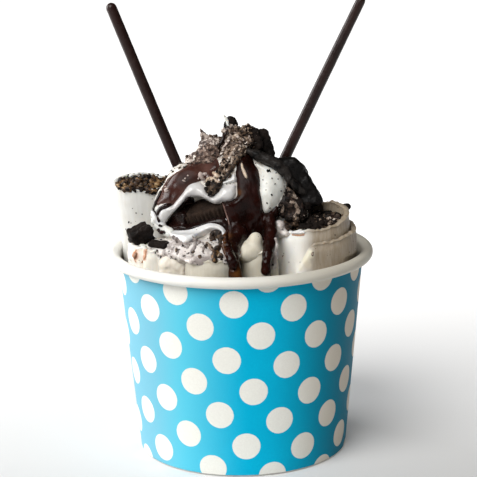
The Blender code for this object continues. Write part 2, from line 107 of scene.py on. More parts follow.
_TURN = np.array([[0.36, 0.48, -0.8], [-0.8, 0.6, 0.0], [0.48, 0.64, 0.6]])


def noise(p, size, seed=0):
    """Smooth value noise from -1 to 1 with lumps of about this size."""
    q = (np.asarray(p, np.float64) @ _TURN.T / size + 1000.0).astype(np.float64)
    i = np.floor(q).astype(np.int64)
    f = (q - i).astype(np.float32)
    u = f * f * (3 - 2 * f)
    out = 0
    for dx in (0, 1):
        wx = u[..., 0] if dx else 1 - u[..., 0]
        for dy in (0, 1):
            wy = u[..., 1] if dy else 1 - u[..., 1]
            for dz in (0, 1):
                wz = u[..., 2] if dz else 1 - u[..., 2]
                out = out + wx * wy * wz * _hash(i[..., 0] + dx, i[..., 1] + dy, i[..., 2] + dz, seed)
    return out


def fbm(p, size, octaves=3, seed=0, gain=0.5):
    total, weight, norm = 0, 1.0, 0.0
    for k in range(octaves):
        total = total + weight * noise(p, size / 2**k, seed + 17 * k)
        norm += weight
        weight *= gain
    return total / norm


def smooth(a, b, x):
    t = np.clip((x - a) / (b - a), 0, 1)
    return t * t * (3 - 2 * t)


def smin(a, b, k):
    h = np.clip(0.5 + 0.5 * (b - a) / k, 0, 1)
    return b * (1 - h) + a * h - k * h * (1 - h)


def smax(a, b, k):
    return -smin(-a, -b, k)


def ball(p, c, r):
    """Approximate distance to an ellipsoid."""
    c, r = np.asarray(c, np.float32), np.asarray(r, np.float32)
    q = (p - c) / r
    k0 = np.sqrt((q * q).sum(-1)) + 1e-6
    q2 = q / r
    k1 = np.sqrt((q2 * q2).sum(-1)) + 1e-6
    return k0 * (k0 - 1) / k1


def capsule(p, a, b, ra, rb):
    a, b = np.asarray(a, np.float32), np.asarray(b, np.float32)
    ab = b - a
    t = np.clip(((p - a) @ ab) / max(1e-6, float(ab @ ab)), 0, 1)
    d = p - a - t[..., None] * ab
    return np.sqrt((d * d).sum(-1)) - (ra + (rb - ra) * t)


def chain(p, points, k=0.0):
    """Union of tapered capsules through (x, y, z, r) points."""
    out = None
    for a, b in zip(points, points[1:]):
        d = capsule(p, a[:3], b[:3], a[3], b[3])
        out = d if out is None else (smin(out, d, k) if k else np.minimum(out, d))
    return out


def spline(points, per=5):
    """Catmull-Rom through the points, each a row of numbers."""
    pts = np.array(points, float)
    pts = np.vstack([2 * pts[0] - pts[1], pts, 2 * pts[-1] - pts[-2]])
    out = []
    for i in range(1, len(pts) - 2):
        p0, p1, p2, p3 = pts[i - 1 : i + 3]
        for t in np.linspace(0, 1, per, endpoint=False):
            out.append(
                0.5 * ((2 * p1) + (p2 - p0) * t + (2 * p0 - 5 * p1 + 4 * p2 - p3) * t**2 + (3 * p1 - p0 - 3 * p2 + p3) * t**3)
            )
    out.append(pts[-2])
    return np.array(out)


def surface_nets(values, lo, h):
    inside = values < 0
    total = np.zeros(tuple(n - 1 for n in values.shape), np.int8)
    for dx in (0, 1):
        for dy in (0, 1):
            for dz in (0, 1):
                total += inside[
                    dx : inside.shape[0] - 1 + dx, dy : inside.shape[1] - 1 + dy, dz : inside.shape[2] - 1 + dz
                ]
    active = (total > 0) & (total < 8)
    index = np.full(active.shape, -1, np.int64)
    cells = np.argwhere(active)
    index[active] = np.arange(len(cells))
    corner = {}
    for dx in (0, 1):
        for dy in (0, 1):
            for dz in (0, 1):
                corner[dx, dy, dz] = values[cells[:, 0] + dx, cells[:, 1] + dy, cells[:, 2] + dz]
    place, count = np.zeros((len(cells), 3)), np.zeros(len(cells))
    for axis in range(3):
        others = [a for a in range(3) if a != axis]
        for da in (0, 1):
            for db in (0, 1):
                a = [0, 0, 0]
                a[others[0]], a[others[1]] = da, db
                b = list(a)
                b[axis] = 1
                fa, fb = corner[tuple(a)], corner[tuple(b)]
                cross = (fa < 0) != (fb < 0)
                t = np.where(cross, fa / np.where(cross, fa - fb, 1), 0)
                point = np.tile(np.array(a, float), (len(cells), 1))
                point[:, axis] = t
                place += np.where(cross[:, None], point, 0)
                count += cross
    verts = lo + (cells + place / count[:, None]) * h
    quads = []
    for axis in range(3):
        a = np.take(inside, range(inside.shape[axis] - 1), axis)
        b = np.take(inside, range(1, inside.shape[axis]), axis)
        at = np.argwhere(a != b)
        o1, o2 = [(1, 2), (2, 0), (0, 1)][axis]
        keep = (at[:, o1] > 0) & (at[:, o2] > 0) & (at[:, o1] < index.shape[o1]) & (at[:, o2] < index.shape[o2])
        at = at[keep]
        outward = a[at[:, 0], at[:, 1], at[:, 2]]
        ring = []
        for s1, s2 in ((-1, -1), (0, -1), (0, 0), (-1, 0)):
            c = at.copy()
            c[:, o1] += s1
            c[:, o2] += s2
            ring.append(index[c[:, 0], c[:, 1], c[:, 2]])
        ring = np.stack(ring, 1)
        ring[~outward] = ring[~outward][:, ::-1]
        quads.append(ring)
    return verts, np.vstack(quads)


def relax(verts, quads, field, rounds=2, h=0.4):
    """Evens the net out and puts it back on the surface."""
    for _ in range(rounds):
        total, count = np.zeros_like(verts), np.zeros(len(verts))
        for i in range(4):
            a, b = quads[:, i], quads[:, (i + 1) % 4]
            for s, t in ((a, b), (b, a)):
                np.add.at(count, s, 1)
                for c in range(3):
                    total[:, c] += np.bincount(s, verts[t, c], len(verts))
        verts = 0.35 * verts + 0.65 * total / count[:, None]
        p = verts.astype(np.float32)
        f = field(p)
        grad = np.stack([(field(p + np.float32(0.15) * e) - f) / 0.15 for e in np.eye(3, dtype=np.float32)], 1)
        norm = np.maximum((grad**2).sum(1), 0.05)
        step = np.clip(f / norm, -h, h)
        verts = verts - grad * step[:, None]
    return verts


def net_of(field, lo, hi, h, rounds=2, largest=True):
    """Vertices and quads of field = 0 inside a box."""
    lo, hi = np.array(lo, float), np.array(hi, float)
    axes = [np.arange(lo[i], hi[i] + h, h, dtype=np.float32) for i in range(3)]
    values = np.empty(tuple(len(a) for a in axes), np.float32)
    y, z = np.meshgrid(axes[1], axes[2], indexing="ij")
    for i in range(0, len(axes[0]), 8):
        xs = axes[0][i : i + 8]
        p = np.empty((len(xs), *y.shape, 3), np.float32)
        p[..., 0] = xs[:, None, None]
        p[..., 1] = y
        p[..., 2] = z
        values[i : i + 8] = field(p)
    values[[0, -1]] = np.maximum(values[[0, -1]], 0.01)
    values[:, [0, -1]] = np.maximum(values[:, [0, -1]], 0.01)
    values[:, :, [0, -1]] = np.maximum(values[:, :, [0, -1]], 0.01)
    verts, quads = surface_nets(values, lo, h)
    if rounds:
        verts = relax(verts, quads, field, rounds, h)
    if largest:
        verts, quads = keep_big(verts, quads)
    return verts, quads


def keep_big(verts, quads, share=0.02):
    """Drops loose specks of a net."""
    label = np.arange(len(verts))
    while True:
        low = label[quads].min(1)
        new = label.copy()
        for i in range(4):
            np.minimum.at(new, quads[:, i], low)
        new = new[new]
        if (new == label).all():
            break
        label = new
    count = np.bincount(label, minlength=len(verts))
    keep = count[label] > share * count.max()
    index = np.cumsum(keep) - 1
    return verts[keep], index[quads[keep[quads[:, 0]]]]


def normals_of(verts, faces):
    faces = np.asarray(faces)
    a, b, c = verts[faces[:, 0]], verts[faces[:, 1]], verts[faces[:, 2]]
    n = np.cross(b - a, c - a)
    if faces.shape[1] == 4:
        d = verts[faces[:, 3]]
        n = n + np.cross(c - a, d - a)
    out = np.zeros_like(verts)
    for i in range(faces.shape[1]):
        for k in range(3):
            out[:, k] += np.bincount(faces[:, i], n[:, k], len(verts))
    return out / np.maximum(np.linalg.norm(out, axis=1, keepdims=True), 1e-9)


def mesh_object(name, verts, faces, materials, smooth_angle=None, flat=False, attributes=None, index=None):
    """A mesh object from points in mm."""
    mesh = bpy.data.meshes.new(name)
    verts = np.asarray(verts, float) * MM
    if isinstance(faces, np.ndarray):
        mesh.vertices.add(len(verts))
        mesh.vertices.foreach_set("co", verts.astype(np.float32).ravel())
        n, k = faces.shape
        mesh.loops.add(n * k)
        mesh.loops.foreach_set("vertex_index", faces.astype(np.int32).ravel())
        mesh.polygons.add(n)
        mesh.polygons.foreach_set("loop_start", np.arange(0, n * k, k, dtype=np.int32))
        mesh.update(calc_edges=True)
    else:
        mesh.from_pydata(verts.tolist(), [], [list(map(int, f)) for f in faces])
    mesh.validate()
    for m in materials if isinstance(materials, (list, tuple)) else [materials]:
        mesh.materials.append(m)
    if index is not None:
        mesh.polygons.foreach_set("material_index", np.asarray(index, np.int32))
    for key, values in (attributes or {}).items():
        a = mesh.attributes.new(key, "FLOAT", "POINT")
        a.data.foreach_set("value", np.asarray(values, np.float32))
    if not flat:
        mesh.shade_smooth()
        if smooth_angle:
            mesh.set_sharp_from_angle(angle=math.radians(smooth_angle))
    obj = bpy.data.objects.new(name, mesh)
    bpy.context.scene.collection.objects.link(obj)
    return obj


def grid_faces(columns, rows, wrap=False):
    """Quads of a grid stored column after column."""
    c = np.arange(columns if wrap else columns - 1)
    r = np.arange(rows - 1)
    c, r = np.meshgrid(c, r, indexing="ij")
    c2 = (c + 1) % columns
    return np.stack([c * rows + r, c2 * rows + r, c2 * rows + r + 1, c * rows + r + 1], -1).reshape(-1, 4)


def piece(obj, slot, *nodes):
    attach(obj, "root")
    if nodes:
        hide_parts(*nodes)
    return obj


# ------------------------------------------------------------------------------------------------
# materials
# ------------------------------------------------------------------------------------------------
def lin(r, g, b):
    """Linear colour of an sRGB one given from 0 to 255."""
    out = []
    for c in (r, g, b):
        c /= 255
        out.append(c / 12.92 if c <= 0.04045 else ((c + 0.055) / 1.055) ** 2.4)
    return (*out, 1.0)


class Nodes:
    """Short hand for building a material's nodes."""

    def __init__(self, name, roughness=0.5, specular=0.5, **sockets):
        self.material = bpy.data.materials.new(name)
        self.material.use_nodes = True
        self.tree = self.material.node_tree
        self.shader = self.tree.nodes["Principled BSDF"]
        self.shader.inputs["Roughness"].default_value = roughness
        self.shader.inputs["Specular IOR Level"].default_value = specular
        for key, value in sockets.items():
            self.shader.inputs[key.replace("_", " ")].default_value = value
        self.place = self.add("ShaderNodeTexCoord").outputs["Object"]

    def add(self, kind, **settings):
        node = self.tree.nodes.new(kind)
        for key, value in settings.items():
            setattr(node, key, value)
        return node

    def link(self, a, b):
        self.tree.links.new(a, b)

    def put(self, socket, value):
        if isinstance(value, bpy.types.NodeSocket):
            self.link(value, socket)
        else:
            socket.default_value = value

    def math(self, operation, a, b=0.0, c=0.0, clamp=False):
        node = self.add("ShaderNodeMath", operation=operation, use_clamp=clamp)
        self.put(node.inputs[0], a)
        self.put(node.inputs[1], b)
        self.put(node.inputs[2], c)
        return node.outputs[0]

    def noise(self, size_mm, detail=2.0, rough=0.5, stretch=(1, 1, 1), offset=(0, 0, 0), distortion=0.0, out="Fac"):
        mapping = self.add("ShaderNodeMapping")
        mapping.inputs["Scale"].default_value = tuple(1000.0 * s / size_mm for s in stretch)
        mapping.inputs["Location"].default_value = offset
        self.link(self.place, mapping.inputs["Vector"])
        node = self.add("ShaderNodeTexNoise")
        node.inputs["Scale"].default_value = 1.0
        node.inputs["Detail"].default_value = detail
        node.inputs["Roughness"].default_value = rough
        node.inputs["Distortion"].default_value = distortion
        self.link(mapping.outputs[0], node.inputs["Vector"])
        return node.outputs[out]

    def cells(self, size_mm, feature="F1", offset=(0, 0, 0), out="Distance", stretch=(1, 1, 1)):
        mapping = self.add("ShaderNodeMapping")
        mapping.inputs["Scale"].default_value = tuple(1000.0 * s / size_mm for s in stretch)
        mapping.inputs["Location"].default_value = offset
        self.link(self.place, mapping.inputs["Vector"])
        node = self.add("ShaderNodeTexVoronoi", feature=feature)
        node.inputs["Scale"].default_value = 1.0
        self.link(mapping.outputs[0], node.inputs["Vector"])
        return node.outputs[out]

    def ramp(self, value, *stops, ease="LINEAR"):
        """stops: (position, colour)."""
        node = self.add("ShaderNodeValToRGB")
        node.color_ramp.interpolation = ease
        points = node.color_ramp.elements
        while len(points) < len(stops):
            points.new(0.5)
        for point, (at, color) in zip(points, stops):
            point.position = at
            point.color = color if hasattr(color, "__len__") else (color, color, color, 1)
        self.link(value, node.inputs[0])
        return node.outputs[0]

    def mask(self, value, low, high):
        """0 below low, 1 above high."""
        node = self.add("ShaderNodeMapRange", clamp=True, interpolation_type="SMOOTHSTEP")
        self.put(node.inputs["Value"], value)
        node.inputs["From Min"].default_value = low
        node.inputs["From Max"].default_value = high
        node.inputs["To Min"].default_value = 0.0
        node.inputs["To Max"].default_value = 1.0
        return node.outputs[0]

    def span(self, value, low, high, a, b):
        node = self.add("ShaderNodeMapRange", clamp=True)
        self.put(node.inputs["Value"], value)
        node.inputs["From Min"].default_value = low
        node.inputs["From Max"].default_value = high
        node.inputs["To Min"].default_value = a
        node.inputs["To Max"].default_value = b
        return node.outputs[0]

    def mix(self, fac, a, b, blend="MIX"):
        node = self.add("ShaderNodeMix", data_type="RGBA", blend_type=blend)
        self.put(node.inputs["Factor"], fac)
        self.put(node.inputs[6], a)
        self.put(node.inputs[7], b)
        return node.outputs[2]

    def attribute(self, name):
        return self.add("ShaderNodeAttribute", attribute_name=name).outputs["Fac"]

    def color(self, value):
        self.put(self.shader.inputs["Base Color"], value)

    def rough(self, value):
        self.put(self.shader.inputs["Roughness"], value)

    def bump(self, height, distance_mm, strength=1.0, after=None):
        node = self.add("ShaderNodeBump")
        node.inputs["Strength"].default_value = strength
        node.inputs["Distance"].default_value = distance_mm * MM
        self.link(height, node.inputs["Height"])
        if after is not None:
            self.link(after, node.inputs["Normal"])
        self.link(node.outputs[0], self.shader.inputs["Normal"])
        return node.outputs[0]

    def subsurface(self, weight, radius_mm, color_radius=(1.0, 0.7, 0.5)):
        self.shader.subsurface_method = "RANDOM_WALK"
        self.shader.inputs["Subsurface Weight"].default_value = weight
        self.shader.inputs["Subsurface Radius"].default_value = color_radius
        self.shader.inputs["Subsurface Scale"].default_value = radius_mm * MM


# polka dots on the cup: a square lattice on the wall's flat pattern, a sector of a ring
FAN_RHO0 = 442.643
FAN_SIN = 0.0893316
FAN_SLANT = 73.2328
WALL_TOP_Z = 72.94
DOT_RADIUS = 5.15
DOT_ORIGIN = (-2.676, -509.676)
DOT_V1 = (9.581, 12.251)
DOT_V2 = (-12.547, 9.198)


def paper_white():
    n = Nodes("paper_white", roughness=0.5, specular=0.4)
    fibre = n.noise(0.9, 4, 0.6)
    large = n.noise(14, 2, 0.5, offset=(3, 1, 2))
    base = n.mix(n.span(large, 0.3, 0.7, 0, 1), lin(236, 235, 230), lin(228, 226, 220))
    xyz = n.add("ShaderNodeSeparateXYZ")
    n.link(n.place, xyz.inputs[0])
    px, py, pz = xyz.outputs
    # painted shade: the paper turns darker and warmer towards the right, away from the key light
    base = n.mix(n.mask(px, -0.015, 0.035), base, lin(206, 201, 188))
    # painted shade: the inside wall is darkened between the base and the rim
    far = n.math("SQRT", n.math("ADD", n.math("MULTIPLY", px, px), n.math("MULTIPLY", py, py)))
    wall = n.math("ADD", n.math("MULTIPLY", pz, (WALL_TOP_RADIUS - FOOT_RADIUS) / WALL_TOP_Z), (FOOT_RADIUS - WALL) * MM)
    inside = n.math("MULTIPLY", n.math("SUBTRACT", 1.0, n.mask(n.math("SUBTRACT", far, wall), 0.15 * MM, 0.4 * MM)), n.mask(pz, 0.009, 0.011))
    inside = n.math("MULTIPLY", inside, n.math("SUBTRACT", 1.0, n.mask(pz, 0.0715, 0.0745)))
    n.color(n.mix(n.math("MULTIPLY", inside, 0.85), base, lin(112, 106, 94)))
    n.rough(n.span(fibre, 0.3, 0.7, 0.42, 0.56))
    n.bump(fibre, 0.03, 0.5)
    n.subsurface(0.15, 1.0, (1.0, 0.9, 0.8))
    return n.material


def paper_print():
    n = Nodes("paper_print", roughness=0.46, specular=0.06)
    x, y, z = (n.add("ShaderNodeSeparateXYZ"), 0, 0)
    n.link(n.place, x.inputs[0])
    px, py, pz = x.outputs
    phi = n.math("ARCTAN2", px, n.math("MULTIPLY", py, -1.0))
    psi = n.math("MULTIPLY", phi, FAN_SIN)
    rho = n.math("ADD", n.math("MULTIPLY", pz, 1000.0 * FAN_SLANT / WALL_TOP_Z), FAN_RHO0)
    fx = n.math("MULTIPLY", rho, n.math("SINE", psi))
    fy = n.math("MULTIPLY", n.math("MULTIPLY", rho, n.math("COSINE", psi)), -1.0)
    dx = n.math("SUBTRACT", fx, DOT_ORIGIN[0])
    dy = n.math("SUBTRACT", fy, DOT_ORIGIN[1])
    det = DOT_V1[0] * DOT_V2[1] - DOT_V1[1] * DOT_V2[0]
    a = n.math("DIVIDE", n.math("SUBTRACT", n.math("MULTIPLY", dx, DOT_V2[1]), n.math("MULTIPLY", dy, DOT_V2[0])), det)
    b = n.math("DIVIDE", n.math("SUBTRACT", n.math("MULTIPLY", dy, DOT_V1[0]), n.math("MULTIPLY", dx, DOT_V1[1])), det)
    fa = n.math("SUBTRACT", a, n.math("ROUND", a))
    fb = n.math("SUBTRACT", b, n.math("ROUND", b))
    rx = n.math("ADD", n.math("MULTIPLY", fa, DOT_V1[0]), n.math("MULTIPLY", fb, DOT_V2[0]))
    ry = n.math("ADD", n.math("MULTIPLY", fa, DOT_V1[1]), n.math("MULTIPLY", fb, DOT_V2[1]))
    r = n.math("SQRT", n.math("ADD", n.math("MULTIPLY", rx, rx), n.math("MULTIPLY", ry, ry)))
    ink_edge = n.noise(1.1, 2, 0.5)
    r = n.math("ADD", r, n.span(ink_edge, 0, 1, -0.1, 0.1))
    dot = n.math("SUBTRACT", 1.0, n.mask(r, DOT_RADIUS - 0.12, DOT_RADIUS + 0.12))
    mottle = n.noise(0.7, 4, 0.65)
    wide = n.noise(18, 2, 0.5, offset=(5, 2, 7))
    blue = n.mix(n.span(mottle, 0.3, 0.7, 0, 1), lin(0, 174, 216), lin(0, 184, 222))
    blue = n.mix(n.span(wide, 0.35, 0.65, 0, 0.35), blue, lin(0, 166, 208))
    # painted light and shade: the cyan turns paler towards the left, where the light washes over the cup, and deeper
    # towards the right, away from it
    blue = n.mix(n.mask(px, 0.003, -0.027), blue, lin(92, 198, 223))
    blue = n.mix(n.mask(px, -0.020, -0.036), blue, lin(118, 184, 206))
    blue = n.mix(n.mask(px, 0.008, 0.040), blue, lin(0, 122, 150))
    white = n.mix(n.span(mottle, 0.3, 0.7, 0, 1), lin(238, 238, 231), lin(232, 231, 224))
    # painted shade: the white dots turn darker and warmer towards the right
    white = n.mix(n.mask(px, 0.012, 0.038), white, lin(222, 213, 198))
    n.color(n.mix(dot, blue, white))
    fibre = n.noise(0.5, 3, 0.6)
    n.rough(n.span(fibre, 0.25, 0.75, 0.42, 0.56))
    n.bump(n.noise(1.6, 4, 0.6), 0.03, 0.5)
    return n.material


def ice_cream(name, light, dark, speck=0.5, tint=None, tint_share=0.0, seed=0, side=None, spots=()):
    """Firm scraped ice cream: fine lengthwise streaks, a few dark cookie specks, soft sheen."""
    n = Nodes(name, roughness=0.5, specular=0.35)
    streak = n.noise(1.0, 4, 0.6, stretch=(1, 1, 0.12), offset=(seed, 0, 0))
    cloud = n.noise(7, 3, 0.55, offset=(seed, 3, 1))
    fac = n.math("ADD", n.span(streak, 0.3, 0.7, 0, 0.5), n.span(cloud, 0.3, 0.7, 0, 0.5))
    base = n.mix(fac, light, dark)
    if tint:
        where = n.mask(n.noise(6, 3, 0.6, stretch=(1, 1, 0.3), offset=(seed, 9, 4)), 0.62 - 0.25 * tint_share, 0.74 - 0.2 * tint_share)
        base = n.mix(n.math("MULTIPLY", where, tint_share), base, tint)
    if side:  # painted shade: a darker colour towards one side: (from x, to x, colour)
        xyz = n.add("ShaderNodeSeparateXYZ")
        n.link(n.place, xyz.inputs[0])
        base = n.mix(n.mask(xyz.outputs[0], side[0] * MM, side[1] * MM), base, n.mix(n.span(streak, 0.3, 0.7, 0.85, 1), base, side[2]))
    for where, radius, color, share in spots:
        apart = n.add("ShaderNodeVectorMath", operation="DISTANCE")
        n.link(n.place, apart.inputs[0])
        apart.inputs[1].default_value = tuple(MM * c for c in where)
        soft = n.math("ADD", apart.outputs["Value"], n.span(n.noise(1.6, 3, 0.6), 0, 1, -0.5 * MM, 0.5 * MM))
        near = n.math("SUBTRACT", 1.0, n.mask(soft, 0.35 * radius * MM, radius * MM))
        base = n.mix(n.math("MULTIPLY", near, share), base, color)
    d = n.cells(2.3, offset=(seed, 0, 0))
    grain = n.noise(0.6, 2, 0.5, offset=(0, seed, 0))
    d = n.math("ADD", d, n.span(grain, 0, 1, -0.12, 0.12))
    patchy = n.mask(n.noise(9, 2, 0.5, offset=(seed, 5, 5)), 0.42, 0.6)
    fleck = n.math("MULTIPLY", n.math("SUBTRACT", 1.0, n.mask(d, 0.10 * speck + 0.02, 0.14 * speck + 0.05)), patchy)
    n.color(n.mix(fleck, base, lin(60, 50, 42)))
    n.rough(n.span(cloud, 0.3, 0.7, 0.42, 0.6))
    height = n.math("ADD", n.math("MULTIPLY", streak, 0.6), n.math("MULTIPLY", n.noise(0.45, 3, 0.6), 0.4))
    n.bump(height, 0.12, 0.6)
    n.subsurface(0.35, 1.6, (1.0, 0.85, 0.65))
    return n.material


def cream_speckled(name="cream_speckled", light=lin(232, 229, 222), dark=lin(208, 200, 190), stain=0.55, flecks=0.12, at=(0.52, 0.66)):
    """Soft ice cream full of crushed cookie."""
    n = Nodes(name, roughness=0.38, specular=0.45)
    cloud = n.noise(4.5, 4, 0.6)
    base = n.mix(n.span(cloud, 0.35, 0.65, 0, 1), light, dark)
    gray = n.mask(n.noise(5.5, 4, 0.65, offset=(2, 7, 1)), *at)
    base = n.mix(n.math("MULTIPLY", gray, stain), base, lin(142, 132, 128))
    d = n.math("ADD", n.cells(1.9), n.span(n.noise(0.5, 3, 0.6), 0, 1, -0.2, 0.2))
    patchy = n.mask(n.noise(6, 2, 0.5, offset=(4, 5, 9)), 0.40, 0.55)
    fleck = n.math("MULTIPLY", n.math("SUBTRACT", 1.0, n.mask(d, flecks, flecks + 0.08)), patchy)
    n.color(n.mix(fleck, base, lin(42, 34, 30)))
    n.rough(n.span(cloud, 0.3, 0.7, 0.3, 0.5))
    n.bump(n.noise(1.3, 4, 0.6), 0.25, 0.6)
    n.subsurface(0.3, 1.5, (1.0, 0.85, 0.7))
    return n.material


def cream_glossy(name="cream_glossy", light=lin(240, 240, 239), dark=lin(224, 223, 223)):
    """Melting white cream, wet and smooth."""
    n = Nodes(name, roughness=0.16, specular=0.5)
    cloud = n.noise(5, 3, 0.5)
    base = n.mix(n.span(cloud, 0.35, 0.65, 0, 1), light, dark)
    d = n.math("ADD", n.cells(3.1, offset=(3, 3, 3)), n.span(n.noise(0.5, 3, 0.6), 0, 1, -0.1, 0.1))
    fleck = n.math("MULTIPLY", n.math("SUBTRACT", 1.0, n.mask(d, 0.05, 0.1)), n.mask(n.noise(7, 2, 0.5, offset=(1, 1, 8)), 0.5, 0.6))
    n.color(n.mix(fleck, base, lin(70, 62, 56)))
    n.rough(n.span(cloud, 0.3, 0.7, 0.12, 0.24))
    n.bump(n.noise(2.4, 3, 0.5), 0.15, 0.4)
    n.subsurface(0.3, 1.5, (1.0, 0.9, 0.8))
    return n.material


def fudge():
    """Glossy chocolate sauce, amber where it is thin."""
    n = Nodes("fudge", roughness=0.12, specular=0.16)
    thin = n.attribute("thin")
    cloud = n.noise(6, 4, 0.6)
    base = n.mix(n.span(cloud, 0.35, 0.65, 0, 1), lin(17, 7, 5), lin(38, 14, 10))
    rim = n.mix(n.span(n.noise(3, 2, 0.5, offset=(7, 1, 1)), 0.4, 0.6, 0, 1), lin(96, 58, 24), lin(66, 36, 15))
    n.color(n.mix(thin, base, rim))
    apart = n.add("ShaderNodeVectorMath", operation="DISTANCE")
    n.link(n.place, apart.inputs[0])
    apart.inputs[1].default_value = tuple(MM * c for c in at_depth(245, 182, -20))
    dull = n.math("SUBTRACT", 1.0, n.mask(apart.outputs["Value"], 5 * MM, 9 * MM))
    wet = n.span(n.noise(3.2, 4, 0.6, offset=(1, 4, 2)), 0.35, 0.7, 0.06, 0.3)
    n.rough(n.math("MAXIMUM", wet, n.math("MULTIPLY", dull, 0.5)))
    n.bump(n.noise(2.4, 4, 0.55, offset=(2, 2, 2), stretch=(1, 1, 0.4)), 0.6, 0.8)
    n.subsurface(0.1, 0.6, (1.0, 0.4, 0.15))
    return n.material


def milk_fudge(name="milk_fudge", dark=lin(30, 13, 10), light=lin(60, 32, 26), rough=0.2):
    """The thinner sauce on the left, over cream: redder and lighter."""
    n = Nodes(name, roughness=rough, specular=0.24)
    cloud = n.noise(5, 4, 0.6)
    base = n.mix(n.span(cloud, 0.35, 0.65, 0, 1), dark, light)
    # lighter where the sauce is thin; on the left lobe the same attribute also carries a painted sheen band
    n.color(n.mix(n.attribute("thin"), base, lin(104, 74, 66)))
    apart = n.add("ShaderNodeVectorMath", operation="DISTANCE")
    n.link(n.place, apart.inputs[0])
    apart.inputs[1].default_value = tuple(MM * c for c in at_depth(186, 178, -22))
    dull = n.math("SUBTRACT", 1.0, n.mask(apart.outputs["Value"], 4 * MM, 8 * MM))
    n.rough(n.math("MAXIMUM", n.span(n.noise(2.6, 4, 0.6), 0.35, 0.7, 0.14, 0.36), n.math("MULTIPLY", dull, 0.55)))
    n.bump(n.noise(2.2, 4, 0.6), 0.3, 0.5)
    n.subsurface(0.08, 0.6, (1.0, 0.4, 0.2))
    return n.material


def cookie_dark(name, light, dark, rough=0.75):
    """Dry cocoa cookie: rough, with lighter broken grains."""
    n = Nodes(name, roughness=rough, specular=0.15)
    grain = n.noise(0.7, 5, 0.7)
    cloud = n.noise(4, 3, 0.6)
    base = n.mix(n.span(cloud, 0.35, 0.65, 0, 1), dark, light)
    base = n.mix(n.mask(grain, 0.6, 0.72), base, tuple(min(1, 2.2 * c) for c in light[:3]) + (1,))
    n.color(base)
    n.rough(n.span(grain, 0.3, 0.7, rough - 0.18, min(1, rough + 0.15)))
    n.bump(n.math("ADD", n.math("MULTIPLY", grain, 0.6), n.math("MULTIPLY", n.cells(0.8), 0.4)), 0.3, 0.8)
    return n.material


def crumb_mixed(name, stops, spot=0.8, rough=0.8, sheen_noise=3.0, seed=0):
    """Crushed cookie stuck together with cream: colour changes from grain to grain."""
    n = Nodes(name, roughness=rough, specular=0.35)
    grain = n.cells(spot, out="Color", offset=(seed, 0, 0))
    pick = n.add("ShaderNodeSeparateColor")
    n.link(grain, pick.inputs[0])
    fine = n.noise(spot * 1.6, 4, 0.7, offset=(0, seed, 0))
    big = n.noise(5.0, 3, 0.6, offset=(seed, 2, 8))
    value = n.math("ADD", n.math("MULTIPLY", pick.outputs[0], 0.42), n.math("MULTIPLY", fine, 0.4))
    value = n.math("ADD", value, n.span(big, 0.3, 0.7, -0.16, 0.2))
    n.color(n.ramp(value, *stops))
    n.rough(n.span(n.noise(sheen_noise, 3, 0.6), 0.35, 0.65, rough - 0.35, rough))
    n.bump(n.math("ADD", n.math("MULTIPLY", fine, 0.6), n.math("MULTIPLY", n.cells(spot, offset=(seed, 0, 0)), 0.6)), 0.35, 0.9)
    return n.material


def chocolate():
    """Smooth chocolate coating of the sticks."""
    n = Nodes("chocolate", roughness=0.32, specular=0.32)
    cloud = n.noise(9, 3, 0.5, stretch=(1, 1, 0.4))
    bloom = n.noise(2.2, 4, 0.6, offset=(3, 3, 1))
    base = n.mix(n.span(cloud, 0.35, 0.65, 0, 1), lin(30, 16, 14), lin(40, 22, 19))
    n.color(n.mix(n.span(bloom, 0.55, 0.8, 0, 0.22), base, lin(80, 62, 56)))
    n.rough(n.span(bloom, 0.3, 0.7, 0.27, 0.42))
    n.bump(n.noise(3.5, 3, 0.5), 0.12, 0.4)
    return n.material


